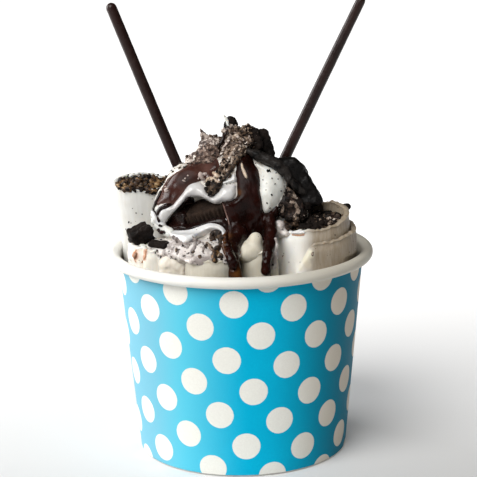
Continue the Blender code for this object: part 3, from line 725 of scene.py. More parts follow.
M = {
    "paper": paper_white(),
    "print": paper_print(),
    # roll A: painted shade darkens its right side, where the heap shades it
    "ice_left": ice_cream("ice_cream_left", lin(218, 218, 215), lin(204, 202, 196), 0.5, seed=1,
                          side=(-31, -26, lin(156, 148, 134))),
    "ice_front_left": ice_cream("ice_cream_front_left", lin(244, 243, 237), lin(232, 227, 216), 0.7, lin(214, 172, 132), 0.15, seed=2,
                                spots=(
                                    (at_depth(134, 255, -24.5), 3.2, lin(210, 150, 110), 0.85),
                                    (at_depth(135, 256, -24.8), 1.9, lin(104, 52, 26), 0.95),
                                    (at_depth(145, 252, -27.0), 1.6, lin(188, 132, 98), 0.8),
                                    (at_depth(144.5, 258, -27.0), 1.5, lin(190, 130, 96), 0.8),
                                    (at_depth(160, 253, -28.8), 1.2, lin(70, 48, 36), 0.8),
                                    (at_depth(160.5, 258, -28.8), 1.1, lin(90, 66, 50), 0.7),
                                    (at_depth(169, 269, -27.5), 1.8, lin(204, 160, 120), 0.5),
                                )),
    "ice_front": ice_cream("ice_cream_front", lin(206, 202, 190), lin(188, 181, 165), 0.8, lin(190, 160, 120), 0.15, seed=3),
    "ice_center": ice_cream("ice_cream_center", lin(224, 218, 202), lin(206, 199, 182), 0.6, seed=4),
    # the big right roll: painted shade darkens its right side, away from the key light; the pale spots along its outer
    # leaf's torn edge are partly a painted highlight
    "ice_right": ice_cream("ice_cream_right", lin(255, 254, 250), lin(246, 243, 236), 0.6, lin(230, 218, 200), 0.12, seed=5,
                           side=(20.5, 28, lin(146, 131, 110)),
                           spots=(
                               (at_depth(309, 254, -27.8), 2.4, lin(244, 238, 216), 0.9),
                               (at_depth(304, 260, -27.8), 2.8, lin(244, 238, 216), 0.9),
                               (at_depth(299, 267, -27.8), 2.6, lin(240, 232, 212), 0.8),
                               (at_depth(307, 265, -28.2), 2.4, lin(220, 210, 190), 0.7),
                           )),
    "ice_back": ice_cream("ice_cream_back", lin(236, 232, 222), lin(220, 213, 200), 0.7, seed=6),
    "speckled": cream_speckled(),
    "glossy": cream_glossy(),
    # a greyer copy of the glossy cream: painted shade for the upper ribbon under the peak
    "glossy_painted_shade": cream_glossy("cream_glossy_painted_shade", lin(222, 221, 220), lin(198, 195, 194)),
    "fudge": fudge(),
    "milk_fudge": milk_fudge(),
    "wedge_plain": milk_fudge("fudge_drops", lin(26, 12, 9), lin(44, 22, 17), 0.25),
    # a darker copy of the sauce: painted shade
    "wedge": milk_fudge("fudge_in_shade", lin(20, 11, 9), lin(34, 17, 14), 0.3),
    "cookie": cookie_dark("cookie", lin(54, 41, 33), lin(28, 20, 15)),
    "chunk": cookie_dark("cookie_chunk", lin(30, 22, 18), lin(12, 8, 6), 0.8),
    "crumb": crumb_mixed(
        "crumb_dark",
        [(0.25, lin(20, 14, 11)), (0.45, lin(52, 38, 28)), (0.62, lin(92, 72, 54)), (0.8, lin(150, 132, 112))],
    ),
    "crumb_shade": crumb_mixed(
        "crumb_shade",
        [(0.25, lin(14, 9, 7)), (0.5, lin(38, 26, 21)), (0.68, lin(74, 56, 46)), (0.85, lin(138, 118, 106))], 0.9, 0.85, seed=6),
    "crumb_light": crumb_mixed(
        "crumb_light",
        [(0.22, lin(36, 27, 22)), (0.40, lin(96, 80, 68)), (0.56, lin(150, 132, 118)), (0.72, lin(214, 203, 192))],
        spot=0.9,
        seed=3,
    ),
    "chocolate": chocolate(),
    "crumb_gold": crumb_mixed(
        "crumb_gold",
        [(0.25, lin(24, 15, 10)), (0.45, lin(60, 40, 24)), (0.62, lin(120, 88, 52)), (0.8, lin(176, 150, 112))], spot=1.1, seed=5,
    ),
    "crumb_peak": crumb_mixed(
        "crumb_peak",
        [(0.20, lin(34, 24, 18)), (0.36, lin(82, 64, 51)), (0.52, lin(140, 119, 102)), (0.70, lin(206, 190, 174))], spot=0.9, seed=7,
    ),
    "crumb_left_peak": crumb_mixed(
        "crumb_left_peak",
        [(0.2, lin(26, 18, 15)), (0.42, lin(74, 56, 48)), (0.6, lin(122, 100, 88)), (0.8, lin(182, 166, 154))], 0.8, 0.8, seed=8),
    "crumb_cream": crumb_mixed(
        "crumb_cream",
        [(0.22, lin(60, 46, 42)), (0.38, lin(128, 112, 104)), (0.52, lin(188, 174, 164)), (0.70, lin(226, 217, 208))], spot=0.9, seed=9,
        rough=0.65,
    ),
    "pink": cream_speckled("cream_pink", lin(206, 192, 186), lin(160, 142, 136), 0.4),
    "hollow": cream_speckled("cream_hollow", lin(138, 98, 68), lin(96, 62, 40), 0.2),
    "streak": cream_speckled("cream_streak", lin(140, 112, 104), lin(104, 78, 70), 0.2),
    "amber": cream_speckled("cream_amber", lin(206, 154, 120), lin(172, 118, 84), 0.1),
    "stained": cream_speckled("cream_stained", lin(156, 148, 144), lin(114, 105, 102), 0.9, 0.2, at=(0.42, 0.6)),
    "ivory": cream_speckled("cream_ivory", lin(206, 188, 168), lin(176, 152, 130), 0.1),
    "speckled_low": cream_speckled("cream_speckled_low", lin(232, 227, 222), lin(206, 197, 193), 0.9, 0.2, at=(0.45, 0.62)),
    "speckled_smooth": cream_speckled("cream_speckled_smooth", lin(236, 236, 231), lin(218, 218, 212), 0.12, 0.16),
    # the slab's lip: a smoother edge whose lighter grey colour is a painted sheen
    "slab_lip_painted_sheen": cookie_dark("cookie_slab_lip_painted_sheen", lin(46, 42, 40), lin(28, 25, 23), 0.42),
    "ice_lump": ice_cream("ice_cream_lump", lin(236, 231, 221), lin(218, 209, 195), 0.9, lin(196, 164, 130), 0.3, seed=9),
    "slab": cookie_dark("cookie_slab", lin(18, 15, 14), lin(6, 5, 5), 0.5),
}

# ------------------------------------------------------------------------------------------------
# paper cup
# ------------------------------------------------------------------------------------------------


def wall_outer(z):
    return FOOT_RADIUS + (WALL_TOP_RADIUS - FOOT_RADIUS) * z / WALL_TOP_Z


def wall_inner(z):
    return wall_outer(z) - WALL


def make_cup():
    steps = 252
    bead_r, bead_z = RIM_RADIUS - BEAD_W, CUP_HEIGHT - BEAD_H
    outline = []  # (radius, height, share of the side seam's step, printed)
    for z in np.linspace(6.0, 74.6, 15):
        outline.append((wall_inner(z), z, 0.0, 0))
    for a in np.radians(np.linspace(178, -128, 30)):
        outline.append((bead_r + BEAD_W * math.cos(a), bead_z + BEAD_H * math.sin(a), 0.4, 0))
    outline.append((WALL_TOP_RADIUS + 0.12, WALL_TOP_Z + 0.3, 0.8, 0))
    outline.append((WALL_TOP_RADIUS + 0.02, WALL_TOP_Z - 0.1, 1.0, 0))
    for z in np.linspace(WALL_TOP_Z - 0.4, 0.6, 22):
        outline.append((wall_outer(z), z, 1.0, 1))
    outline += [(wall_outer(0.25) - 0.05, 0.25, 1.0, 1), (wall_outer(0) - 0.25, 0.04, 1.0, 0), (wall_outer(0) - 0.5, 0.0, 0.5, 0)]
    slot_out = wall_inner(3.0)
    fold = slot_out - 0.5 - 0.6
    outline += [(fold - 0.35, 0.0, 0.0, 0), (fold - 0.56, 0.12, 0, 0), (fold - 0.6, 0.35, 0.0, 0)]
    for z in np.linspace(1.0, 5.9, 5):
        outline.append((fold - 0.6, z, 0.0, 0))
    outline += [(fold - 0.55, 6.05, 0, 0), (fold - 0.05, 6.05, 0, 0), (fold, 5.9, 0, 0), (fold, 0.8, 0, 0), (slot_out, 0.8, 0, 0)]
    prof = np.array(outline)
    rows = len(prof)
    ang = -math.pi / 2 + np.arange(steps) * TAU / steps  # starts at the front, the seam is at the back
    # the paper's outer layer stops at the side seam and bends over the inner one
    back = (np.arange(steps) * 360 / steps) - 180.0
    lift = np.where((back > 0) & (back <= 9.0), 1.0, 0.0) + np.where((back > 9.0) & (back < 16), np.cos((back - 9) / 7 * math.pi / 2), 0)
    wob = 0.12 * np.sin(2 * ang + 0.6) + 0.06 * np.sin(3 * ang + 2)  # a paper rim is never quite round
    r = prof[None, :, 0] + 0.4 * lift[:, None] * prof[None, :, 2]
    r = r + wob[:, None] * np.clip((prof[None, :, 1] - 20) / 55, 0, 1)
    z = np.repeat(prof[None, :, 1], steps, 0) + np.where(prof[None, :, 1] > 70, 0.05 * np.sin(2 * ang + 1)[:, None], 0)
    verts = np.stack([r * np.cos(ang)[:, None], r * np.sin(ang)[:, None], z], -1).reshape(-1, 3)
    faces = grid_faces(steps, rows, wrap=True)
    last = np.arange(steps)
    nxt = (last + 1) % steps
    faces = np.vstack([faces, np.stack([last * rows + rows - 1, nxt * rows + rows - 1, nxt * rows, last * rows], 1)])
    printed = prof[:, 3]
    row = faces[:, 0] % rows
    index = ((printed[row] > 0) & (printed[(row + 1) % rows] > 0)).astype(int)
    faces = faces[:, ::-1]
    obj = mesh_object("cup_paper", verts, faces, [M["paper"], M["print"]], smooth_angle=50, index=index)
    return piece(obj, "cup_wall", "cup_wall")


def make_base():
    steps = 144
    out = wall_inner(3.0) - 0.3
    rows = [(0.01, 6.9), (out * 0.3, 6.92), (out * 0.6, 6.98), (out * 0.85, 7.05), (out - 0.6, 7.2), (out - 0.1, 7.15), (out, 6.9), (out, 1.15)]
    rows += [(out - 0.5, 1.15), (out - 0.5, 6.0), (out - 0.8, 6.45), (out - 1.3, 6.5), (out * 0.85, 6.35), (out * 0.6, 6.3), (out * 0.3, 6.22), (0.01, 6.2)]
    prof = np.array(rows)
    ang = np.arange(steps) * TAU / steps
    verts = np.stack(
        [prof[None, :, 0] * np.cos(ang)[:, None], prof[None, :, 0] * np.sin(ang)[:, None], np.repeat(prof[None, :, 1], steps, 0)], -1
    ).reshape(-1, 3)
    obj = mesh_object("cup_base_disc", verts, grid_faces(steps, len(prof), wrap=True)[:, ::-1], M["paper"], smooth_angle=40)
    return piece(obj, "cup_base", "cup_base")


# ------------------------------------------------------------------------------------------------
# ice cream rolls
# ------------------------------------------------------------------------------------------------
ROLL_FOOT = 63.9


def press_in(x, y, z, half):
    """Keeps a sheet's middle line clear of the cup's wall, where soft ice cream flattens."""
    far = np.hypot(x, y)
    reach = np.where(z > CUP_HEIGHT + 0.5, RIM_RADIUS + 1.0, wall_inner(np.minimum(z, WALL_TOP_Z)) - 0.5) - half
    k = np.minimum(1, reach / np.maximum(far, 1e-6))
    return x * k, y * k


SHEETS = {}


def on_sheet(name, x, y, lift=0.0):
    """The point of a roll seen at an image point, moved out by lift."""
    verts, faces = SHEETS[name]
    tree = BVHTree.FromPolygons(verts.tolist(), faces.tolist()) if not isinstance(verts, BVHTree) else verts
    SHEETS[name] = (tree, faces)
    place, out, _, _ = tree.ray_cast(Vector(EYE), Vector(ray_of(x, y)))
    if place is None:
        return None
    out = np.array(out)
    if out @ ray_of(x, y) > 0:
        out = -out
    return np.array(place) + lift * out


def make_roll(name, mat, node, x, y, r, turns, sheet, edge, way, top, rise, tilt, to, lean=(0, 0), creases=(),
              crease_depth=1.2, slant=0.0, slant_from=74.0, seed=0, rag=0.5, flare=0.0, wave=0.25, step=0.75,
              gap=0.5, rows=34, bulge=None, heights=None, marks=1.0):
    """One wound sheet of ice cream with torn edges. Angles in degrees."""
    length = TAU * r * turns
    cols = int(length / step)
    t = np.linspace(0, turns, cols)
    base = math.radians(edge) + way * TAU * t
    half = sheet / 2
    lip = np.radians(np.array([60, 25, -25, -60.0]))
    # round the sheet: up its outer side, over the torn top, down its inner side
    v = np.concatenate([np.linspace(0, 1, rows), np.ones(len(lip)), np.linspace(1, 0, rows)])
    side = np.concatenate([np.ones(rows), np.sin(lip), -np.ones(rows)])
    cap = np.concatenate([np.zeros(rows), np.cos(lip), np.zeros(rows)])
    T, V = np.meshgrid(t, v, indexing="ij")
    A = np.repeat(base[:, None], len(v), 1)
    S, C = np.repeat(side[None], cols, 0), np.repeat(cap[None], cols, 0)
    arc = T * TAU * r  # mm along the sheet
    line = np.stack([arc, np.full_like(arc, 7.0 * seed), np.zeros_like(arc)], -1)
    tear = rag * (fbm(line, 5.5, 3, seed) + 0.6 * noise(line, 1.3, seed + 5))
    topz = top + rise * T + tilt * np.cos(A - math.radians(to)) + tear
    if heights:  # (turn, height) along the sheet
        h = spline(heights, 8)
        topz = np.interp(T, h[:, 0], h[:, 1]) + tear
    zz = ROLL_FOOT + (topz - ROLL_FOOT) * V
    # the free edge leans back with height
    share = np.clip((zz - slant_from) / max(1.0, top - slant_from), 0, 1)
    back = np.radians(slant) * share * np.clip(1 - T * 360 / 100, 0, 1)
    edge_rag = np.stack([zz * 1.0, np.full_like(zz, 3.0 + seed), np.zeros_like(zz)], -1)
    back = back + 0.035 * fbm(edge_rag, 3.0, 3, seed + 9) * np.clip(1 - T * 360 / 30, 0, 1)
    A = A + way * back
    winding = r - half - 0.05 - (sheet + gap) * T
    for c, width in creases:
        d = (A - math.radians(c) + math.pi) % TAU - math.pi
        fold = np.exp(-np.abs(d) * r / width) * (T < 1.05)
        winding = winding - crease_depth * fold
    if bulge:
        d = (A - math.radians(bulge[0]) + math.pi) % TAU - math.pi
        winding = winding + bulge[2] * np.exp(-((d * r / bulge[1]) ** 2))
    winding = winding + flare * V**2
    place = np.stack([winding * np.cos(A) + x, winding * np.sin(A) + y, zz * 0.5], -1)
    winding = winding + wave * fbm(place, 9.0, 2, seed + 2)
    grow = np.clip(T * TAU * r / 1.6, 0.25, 1) * np.clip((turns - T) * TAU * r / 1.6, 0.25, 1)
    thick = half * grow * (1 - 0.35 * smooth(0.86, 1.0, V) * (C == 0)) * (1 + 0.12 * fbm(place + 40, 4.0, 2, seed))
    near_end = np.minimum(T, turns - T) * TAU * r
    lean_share = (zz - ROLL_FOOT) / (top - ROLL_FOOT)
    z_out = zz + C * half * 0.75 * grow
    mx = x + lean[0] * lean_share + winding * np.cos(A)
    my = y + lean[1] * lean_share + winding * np.sin(A)
    mx, my = press_in(mx, my, zz, half)
    px = mx + S * thick * np.cos(A)
    py = my + S * thick * np.sin(A)
    verts = np.stack([px, py, z_out], -1)
    # fine lengthwise scrape marks and pits on the faces
    fine = np.stack([arc, S * 9.0, zz * 0.12], -1)
    scrape = marks * (0.07 * fbm(fine, 1.1, 2, seed + 21) + 0.05 * noise(verts, 0.8, seed + 30))
    verts[..., 0] += scrape * S * np.cos(A)
    verts[..., 1] += scrape * S * np.sin(A)
    verts[..., 2] += np.where(V > 0.93, 0.12 * noise(verts, 0.9, seed + 31), 0)
    n = len(v)
    faces = grid_faces(cols, n)
    foot = np.arange(cols - 1) * n
    faces = np.vstack([faces, np.stack([foot, foot + n - 1, foot + 2 * n - 1, foot + n], 1)])
    flat = verts.reshape(-1, 3)
    ends = []
    for c in (0, cols - 1):  # the two torn ends, closed across the sheet
        ring = c * n + np.arange(n)
        k = n // 2
        strip = [(ring[i], ring[i + 1], ring[n - 2 - i], ring[n - 1 - i]) for i in range(k - 1)]
        strip = np.array(strip)
        ends.append(strip if c else strip[:, ::-1])
    faces = np.vstack([faces, *ends])
    if way > 0:
        faces = faces[:, ::-1]
    SHEETS[name] = (flat, faces)
    obj = mesh_object(name, flat, faces, mat, smooth_angle=70)
    return piece(obj, "ice_cream", node)


# ------------------------------------------------------------------------------------------------
# crumbs
# ------------------------------------------------------------------------------------------------
def _ico(level):
    import bmesh

    b = bmesh.new()
    bmesh.ops.create_icosphere(b, subdivisions=level, radius=1.0)
    v = np.array([p.co[:] for p in b.verts])
    f = np.array([[p.index for p in face.verts] for face in b.faces])
    b.free()
    return v, f


ICO = {k: _ico(k) for k in (1, 2, 3, 4)}


def crumb_cloud(name, places, sizes, mat, slot, seed, level=2, lump=0.45, nodes=(), flat=False, squash=0.7):
    """Many rough crumbs as one mesh."""
    rng = np.random.default_rng(seed)
    v0, f0 = ICO[level]
    all_v, all_f, total = [], [], 0
    for i, (c, s) in enumerate(zip(places, sizes)):
        q = rng.normal(size=4)
        q /= np.linalg.norm(q)
        w, a, b, g = q
        rot = np.array([
            [1 - 2 * (b * b + g * g), 2 * (a * b - w * g), 2 * (a * g + w * b)],
            [2 * (a * b + w * g), 1 - 2 * (a * a + g * g), 2 * (b * g - w * a)],
            [2 * (a * g - w * b), 2 * (b * g + w * a), 1 - 2 * (a * a + b * b)],
        ])
        stretch = np.array([1.0, rng.uniform(0.65, 1.0), rng.uniform(0.45, squash + 0.1)])
        v = v0 * stretch
        v = v * (1 + lump * noise(v + 31.7 * i, 0.9, seed)[:, None] + 0.5 * lump * noise(v + 11.3 * i, 0.4, seed + 1)[:, None])
        all_v.append((v @ rot.T) * s + np.asarray(c))
        all_f.append(f0 + total)
        total += len(v0)
    obj = mesh_object(name, np.vstack(all_v), np.vstack(all_f), mat, flat=flat, smooth_angle=None if flat else 55)
    return piece(obj, slot, *nodes)


def filling(name, node, x, y, radius, z, tilt, to, mat, seed, grains=90, size=(0.5, 1.3), dome=0.6, depth=10.0, rough=0.8,
            scale=(1.0, 1.0), tones=(), dark=None):
    """Crumb packed into a roll's hollow: a rough top over a plug, with loose grains on it."""
    rng = np.random.default_rng(seed)
    rings, sides = 26, 84
    rr = np.concatenate([np.linspace(0.001, 1, rings), [1.0, 1.0]])
    ang = np.arange(sides) * TAU / sides
    R, A = np.meshgrid(rr, ang, indexing="ij")
    drop = np.zeros_like(R)
    drop[-2], drop[-1] = 1.2, depth
    px = x + radius * R * np.cos(A) * scale[0]
    py = y + radius * R * np.sin(A) * scale[1]
    flat = np.stack([px, py, np.zeros_like(px)], -1)
    pz = z + tilt * R * np.cos(A - math.radians(to)) + dome * (1 - R**2) - drop
    pz = pz + rough * (fbm(flat, 3.6, 3, seed) + 0.5 * noise(flat, 1.1, seed + 4)) * (drop < 2)
    verts = np.stack([px, py, pz], -1)
    faces = []
    n = sides
    for i in range(len(rr) - 1):
        a = np.arange(n)
        b = (a + 1) % n
        faces.append(np.stack([i * n + a, (i + 1) * n + a, (i + 1) * n + b, i * n + b], 1))
    faces = np.vstack(faces)
    verts = verts.reshape(-1, 3)
    SHEETS[name] = (verts, faces)
    obj = mesh_object(name, verts, faces, mat, smooth_angle=60)
    piece(obj, "crumb", *([node] if node else []))
    places, sizes = [], []
    for _ in range(grains):
        q = math.sqrt(rng.uniform(0, 0.93))
        a = rng.uniform(0, TAU)
        s = rng.uniform(*size) * rng.uniform(0.7, 1.0)
        gx, gy = x + radius * q * math.cos(a) * scale[0], y + radius * q * math.sin(a) * scale[1]
        g = np.array([[gx, gy, 0.0]])
        gz = z + tilt * q * math.cos(a - math.radians(to)) + dome * (1 - q * q)
        gz += float(rough * (fbm(g, 3.6, 3, seed) + 0.5 * noise(g, 1.1, seed + 4))[0])
        places.append((gx, gy, gz + 0.25 * s))
        sizes.append(s)
    tones = [mat] if not tones else tones
    if dark:
        # only dark crumb on one side
        kept = [(p, s) for k, (p, s) in enumerate(zip(places, sizes))
                if k % len(tones) < 2 or math.hypot(p[0] - dark[0], p[1] - dark[1]) > dark[2] * rng.uniform(0.7, 1.0)]
        extra = [p for p in places if math.hypot(p[0] - dark[0], p[1] - dark[1]) < dark[2]]
        crumb_cloud(name + "_grains_dark", [(p[0] + 0.4, p[1] + 0.3, p[2] + 0.2) for p in extra], [rng.uniform(0.5, 1.5) for _ in extra],
                    M["chunk"], "crumb", seed + 30, level=2)
        places, sizes = [p for p, _ in kept], [s for _, s in kept]
    for k, tone in enumerate(tones):
        crumb_cloud(f"{name}_grains_{k}" if k else name + "_grains", places[k :: len(tones)], sizes[k :: len(tones)], tone, "crumb",
                    seed + 1 + k, level=2)
    return obj


# ------------------------------------------------------------------------------------------------
# chocolate sticks
# ------------------------------------------------------------------------------------------------
def make_stick(name, foot, tip, r_foot, r_tip, seed):
    foot, tip = np.array(foot), np.array(tip)
    axis = tip - foot
    length = np.linalg.norm(axis)
    axis /= length
    side = np.cross(axis, [0.0, 1.0, 0.0])
    side /= np.linalg.norm(side)
    other = np.cross(axis, side)
    heights = [0.0, 0.0, 0.15, 0.5]
    radii = [0.001, r_foot - 0.5, r_foot - 0.12, r_foot]
    for h in np.linspace(1.5, length - r_tip, 90):
        heights.append(h)
        radii.append(r_foot + (r_tip - r_foot) * (h / length) ** 1.5)
    for a in np.radians([15, 30, 45, 60, 72, 82, 89]):
        heights.append(length - r_tip + r_tip * math.sin(a))
        radii.append(r_tip * math.cos(a))
    h, r = np.array(heights), np.array(radii)
    sides = 40
    ang = np.arange(sides) * TAU / sides
    H, A = np.meshgrid(h, ang, indexing="ij")
    R = np.repeat(r[:, None], sides, 1)
    around = np.stack([np.cos(A) * 2, np.sin(A) * 2, H * 0.35], -1)
    R = R * (1 + 0.025 * fbm(around, 3.0, 2, seed)) + 0.03 * noise(around * 2, 1.0, seed + 3) * (R > 0.5)
    bend = 0.25 * np.sin(math.pi * H / length)
    verts = foot + H[..., None] * axis + (R * np.cos(A) + bend)[..., None] * side + (R * np.sin(A))[..., None] * other
    n = sides
    a = np.arange(n)
    b = (a + 1) % n
    faces = np.vstack([np.stack([i * n + a, i * n + b, (i + 1) * n + b, (i + 1) * n + a], 1) for i in range(len(h) - 1)])
    verts = verts.reshape(-1, 3)
    center = verts.mean(0)
    if (normals_of(verts, faces) * (verts - center)).sum() < 0:
        faces = faces[:, ::-1]
    obj = mesh_object(name, verts, faces, M["chocolate"], smooth_angle=60)
    return piece(obj, "chocolate", name.replace("_coated", ""))


# ------------------------------------------------------------------------------------------------
# build
# ------------------------------------------------------------------------------------------------
make_cup()
make_base()

make_roll("roll_left_sheet", M["ice_left"], "roll_left", x=-33.0, y=7.2, r=11.9, turns=1.2, sheet=2.0, edge=60, way=1,
          top=101.2, rise=0.3, tilt=1.5, to=95, lean=(-3.6, -3.2), seed=1, rag=0.45, wave=0.35)
make_roll("roll_front_left_sheet", M["ice_front_left"], "roll_front_left", x=-29.2, y=-17.4, r=12.3, turns=1.4, sheet=2.8,
          edge=140, way=1, top=81.4, rise=0.4, tilt=0.7, to=200, lean=(-0.6, 0), seed=2, rag=0.8,
          wave=0.7, creases=((-151, 0.9), (-125, 0.8), (-91, 1.0), (-26, 1.4), (20, 1.2), (75, 1.2)), crease_depth=1.4)
make_roll("roll_front_sheet", M["ice_front"], "roll_front", x=-9.6, y=-33.2, r=10.3, turns=1.4, sheet=2.5, edge=172, way=1,
          top=80.6, rise=0.5, tilt=0.6, to=250, lean=(0, 0.5), seed=3, rag=1.3, wave=0.9, creases=((10, 1.4),), crease_depth=0.7)
make_roll("roll_center_sheet", M["ice_center"], "roll_center", x=6.7, y=-28.2, r=7.9, turns=1.6, sheet=2.0, edge=-62, way=1,
          top=77.6, rise=4.6, tilt=0.3, to=90, lean=(-0.4, 0.6), seed=4, rag=0.35, slant=22, slant_from=66, rows=26)
make_roll("roll_right_sheet", M["ice_right"], "roll_right", x=28.0, y=-12.4, r=15.9, turns=1.55, sheet=2.4, edge=-125, way=1,
          top=84.5, rise=5.2, tilt=2.9, to=30, lean=(0.2, 0.2), seed=5, rag=0.7, slant=27, slant_from=72.5, wave=0.3, step=0.6,
          gap=0.1, marks=0.5, bulge=(-152, 8.0, 2.0),
          heights=[(0, 82.8), (0.06, 83.6), (0.12, 84.2), (0.2, 84.8), (0.34, 86.4), (0.43, 87.4), (0.52, 90.6), (0.6, 93.0),
                   (0.72, 91.0), (0.82, 87.6), (0.9, 86.8), (1.0, 87.4), (1.1, 88.0), (1.2, 89.6), (1.34, 92.4), (1.45, 93.6),
                   (1.56, 93.6)])
make_roll("roll_back_right_sheet", M["ice_back"], "roll_back_right", x=26.6, y=21.4, r=12.1, turns=1.45, sheet=2.4, edge=200,
          way=-1, top=84.6, rise=0.7, tilt=0.5, to=0, lean=(0.5, 0.8), seed=6, rag=0.5, slant=8, rows=24)
make_roll("roll_back_sheet", M["ice_back"], "roll_back", x=3.0, y=33.0, r=12.0, turns=1.45, sheet=2.4, edge=-70, way=1,
          top=94.6, rise=0.8, tilt=0.7, to=120, lean=(0, 1.4), seed=7, rag=0.5, slant=6, rows=26)
make_roll("roll_back_left_sheet", M["ice_back"], "roll_back_left", x=-21.4, y=28.2, r=11.8, turns=1.4, sheet=2.3, edge=10,
          way=-1, top=96.2, rise=0.7, tilt=0.9, to=200, lean=(-1.4, 0.6), seed=8, rag=0.5, rows=26)

filling("crumb_left_fill", "crumb_left", -36.3, 3.8, 9.0, 100.3, 0.4, 200, M["crumb_gold"], 11, grains=260, dome=2.0, rough=2.2,
        depth=9, size=(0.4, 1.9), tones=(M["crumb_gold"], M["chunk"], M["crumb_gold"], M["crumb"]))
filling("crumb_front_left_fill", "crumb_front_left", -29.4, -17.4, 5.4, 80.6, 0.0, 0, M["crumb_light"], 12, grains=40, depth=14)
filling("crumb_front_fill", "crumb_front", -10.4, -32.9, 4.0, 80.4, 0.0, 0, M["crumb_light"], 13, grains=30, depth=14)
filling("crumb_right_fill", "crumb_right", 27.9, -12.1, 9.6, 88.9, 1.8, 30, M["crumb"], 14, grains=420, dome=0.8, rough=1.4,
        depth=20, size=(0.3, 1.4), tones=(M["crumb"], M["chunk"], M["crumb_shade"], M["crumb_light"]),
        dark=(20.5, -18.5, 11.0))
filling("crumb_back_right_fill", "crumb_back_right", 27.0, 22.0, 5.4, 84.4, 0.3, 0, M["crumb"], 15, grains=50, depth=18)
filling("crumb_back_fill", "crumb_back", 3.0, 34.2, 5.3, 94.4, 0.3, 0, M["crumb"], 16, grains=50, depth=16)
filling("crumb_back_left_fill", "crumb_back_left", -22.6, 28.6, 5.6, 96.0, 0.4, 0, M["crumb"], 17, grains=50, depth=16)

make_stick("stick_left_coated", (-6.6, 9.0, 64.6), (-47.0, 9.0, 168.6), 2.05, 2.02, 3)
make_stick("stick_right_coated", (-3.7, 6.5, 65.2), (46.9, 6.5, 169.6), 2.1, 1.75, 4)


# --- the heap -----------------------------------------------------------------------------------
def in_image(p):
    """Image pixels of many points."""
    v = np.asarray(p, np.float32) - EYE.astype(np.float32)
    z = v @ FWD.astype(np.float32)
    return (
        IMAGE / 2 + FOCAL_PX * (v @ RIGHT.astype(np.float32)) / z,
        IMAGE / 2 - FOCAL_PX * (v @ UP.astype(np.float32)) / z,
    )


PX = 2.72  # pixels to a mm at the heap


def closed(points, per=4):
    """A smooth closed outline through image points."""
    p = np.array(points, float)
    n = len(p)
    out = []
    for i in range(n):
        p0, p1, p2, p3 = p[i - 1], p[i], p[(i + 1) % n], p[(i + 2) % n]
        for t in np.linspace(0, 1, per, endpoint=False):
            out.append(
                0.5 * ((2 * p1) + (p2 - p0) * t + (2 * p0 - 5 * p1 + 4 * p2 - p3) * t**2 + (3 * p1 - p0 - 3 * p2 + p3) * t**3)
            )
    return np.array(out)


def region(points, per=4, far_y=0.0):
    """How far inside an outline, drawn as the camera sees it, points are, in mm. Only the near side counts."""
    poly = closed(points, per) if per > 1 else np.array(points, float)
    nxt = np.roll(poly, -1, 0)
    wide = (poly.min(0) - 14, poly.max(0) + 14)

    def inside(p):
        x, y = in_image(p)
        out = np.full(x.shape, -14.0 / PX, np.float32)
        near = (x > wide[0][0]) & (x < wide[1][0]) & (y > wide[0][1]) & (y < wide[1][1])
        xs, ys = x[near], y[near]
        best = np.full(xs.shape, 1e9, np.float32)
        odd = np.zeros(xs.shape, bool)
        for (ax, ay), (bx, by) in zip(poly, nxt):
            ex, ey = bx - ax, by - ay
            wx, wy = xs - ax, ys - ay
            t = np.clip((wx * ex + wy * ey) / max(ex * ex + ey * ey, 1e-9), 0, 1)
            best = np.minimum(best, (wx - ex * t) ** 2 + (wy - ey * t) ** 2)
            if ay != by:
                over = ((ys >= ay) != (ys >= by)) & (xs < ax + (ys - ay) * ex / ey)
                odd ^= over
        out[near] = np.where(odd, 1, -1) * np.sqrt(best) / PX
        return np.minimum(out, far_y - p[..., 1])

    inside.outline = poly
    return inside


def box_of(outline, y0=-40.0, y1=6.0, pad=4.0):
    """A box in mm that holds whatever is seen inside an outline between two depths."""
    corner = []
    for x in (outline[:, 0].min(), outline[:, 0].max()):
        for y in (outline[:, 1].min(), outline[:, 1].max()):
            for d in (y0, y1):
                corner.append(at_depth(x, y, d))
    corner = np.array(corner)
    return corner.min(0) - [pad, 0, pad], corner.max(0) + [pad, 0, pad]


def banded(field, amount, reach=4.5):
    """A field with noise added near its surface only."""

    def f(p):
        d = field(p)
        near = np.abs(d) < reach
        d = np.array(d, np.float32)
        if near.any():
            d[near] -= amount(p[near])
        return d

    return f


# the sandwich cookie that lies in the heap's front: middle, radius, half its thickness, its dip to the front and to the left
COOKIE = (np.array([-9.0, -3.6, 99.6]), 21.0, 2.3, math.radians(14), math.radians(18))


def cookie_turn():
    _, _, _, dip, roll = COOKIE
    rx = np.array([[1, 0, 0], [0, math.cos(dip), -math.sin(dip)], [0, math.sin(dip), math.cos(dip)]])
    ry = np.array([[math.cos(roll), 0, -math.sin(roll)], [0, 1, 0], [math.sin(roll), 0, math.cos(roll)]])
    return ry @ rx


def cookie_field(p):
    c, radius, half, _, _ = COOKIE
    q = (p - c.astype(np.float32)) @ cookie_turn().astype(np.float32)
    out = np.sqrt(q[..., 0] ** 2 + q[..., 1] ** 2) - radius
    up = np.abs(q[..., 2]) - half
    d = np.sqrt(np.maximum(out, 0) ** 2 + np.maximum(up, 0) ** 2) + np.minimum(np.maximum(out, up), 0)
    return np.maximum(d, np.maximum(0.8 * (q[..., 1] - 8.0) - 0.6 * q[..., 0], q[..., 0] - 11.0))


# where the cookie shows, down to the depth of its face
mouth = region([
    (166, 224), (170, 217), (176, 210), (182, 203), (187, 198.5), (192, 197), (198, 197), (203, 198.5), (208, 201), (213, 203.5),
    (218, 204), (223, 203), (229, 204), (233, 212), (233, 222), (228, 229), (220, 225), (214, 223), (208, 223), (202, 225),
    (196, 227.5), (188, 229), (178, 229.5), (170, 229),
], far_y=-12.5)


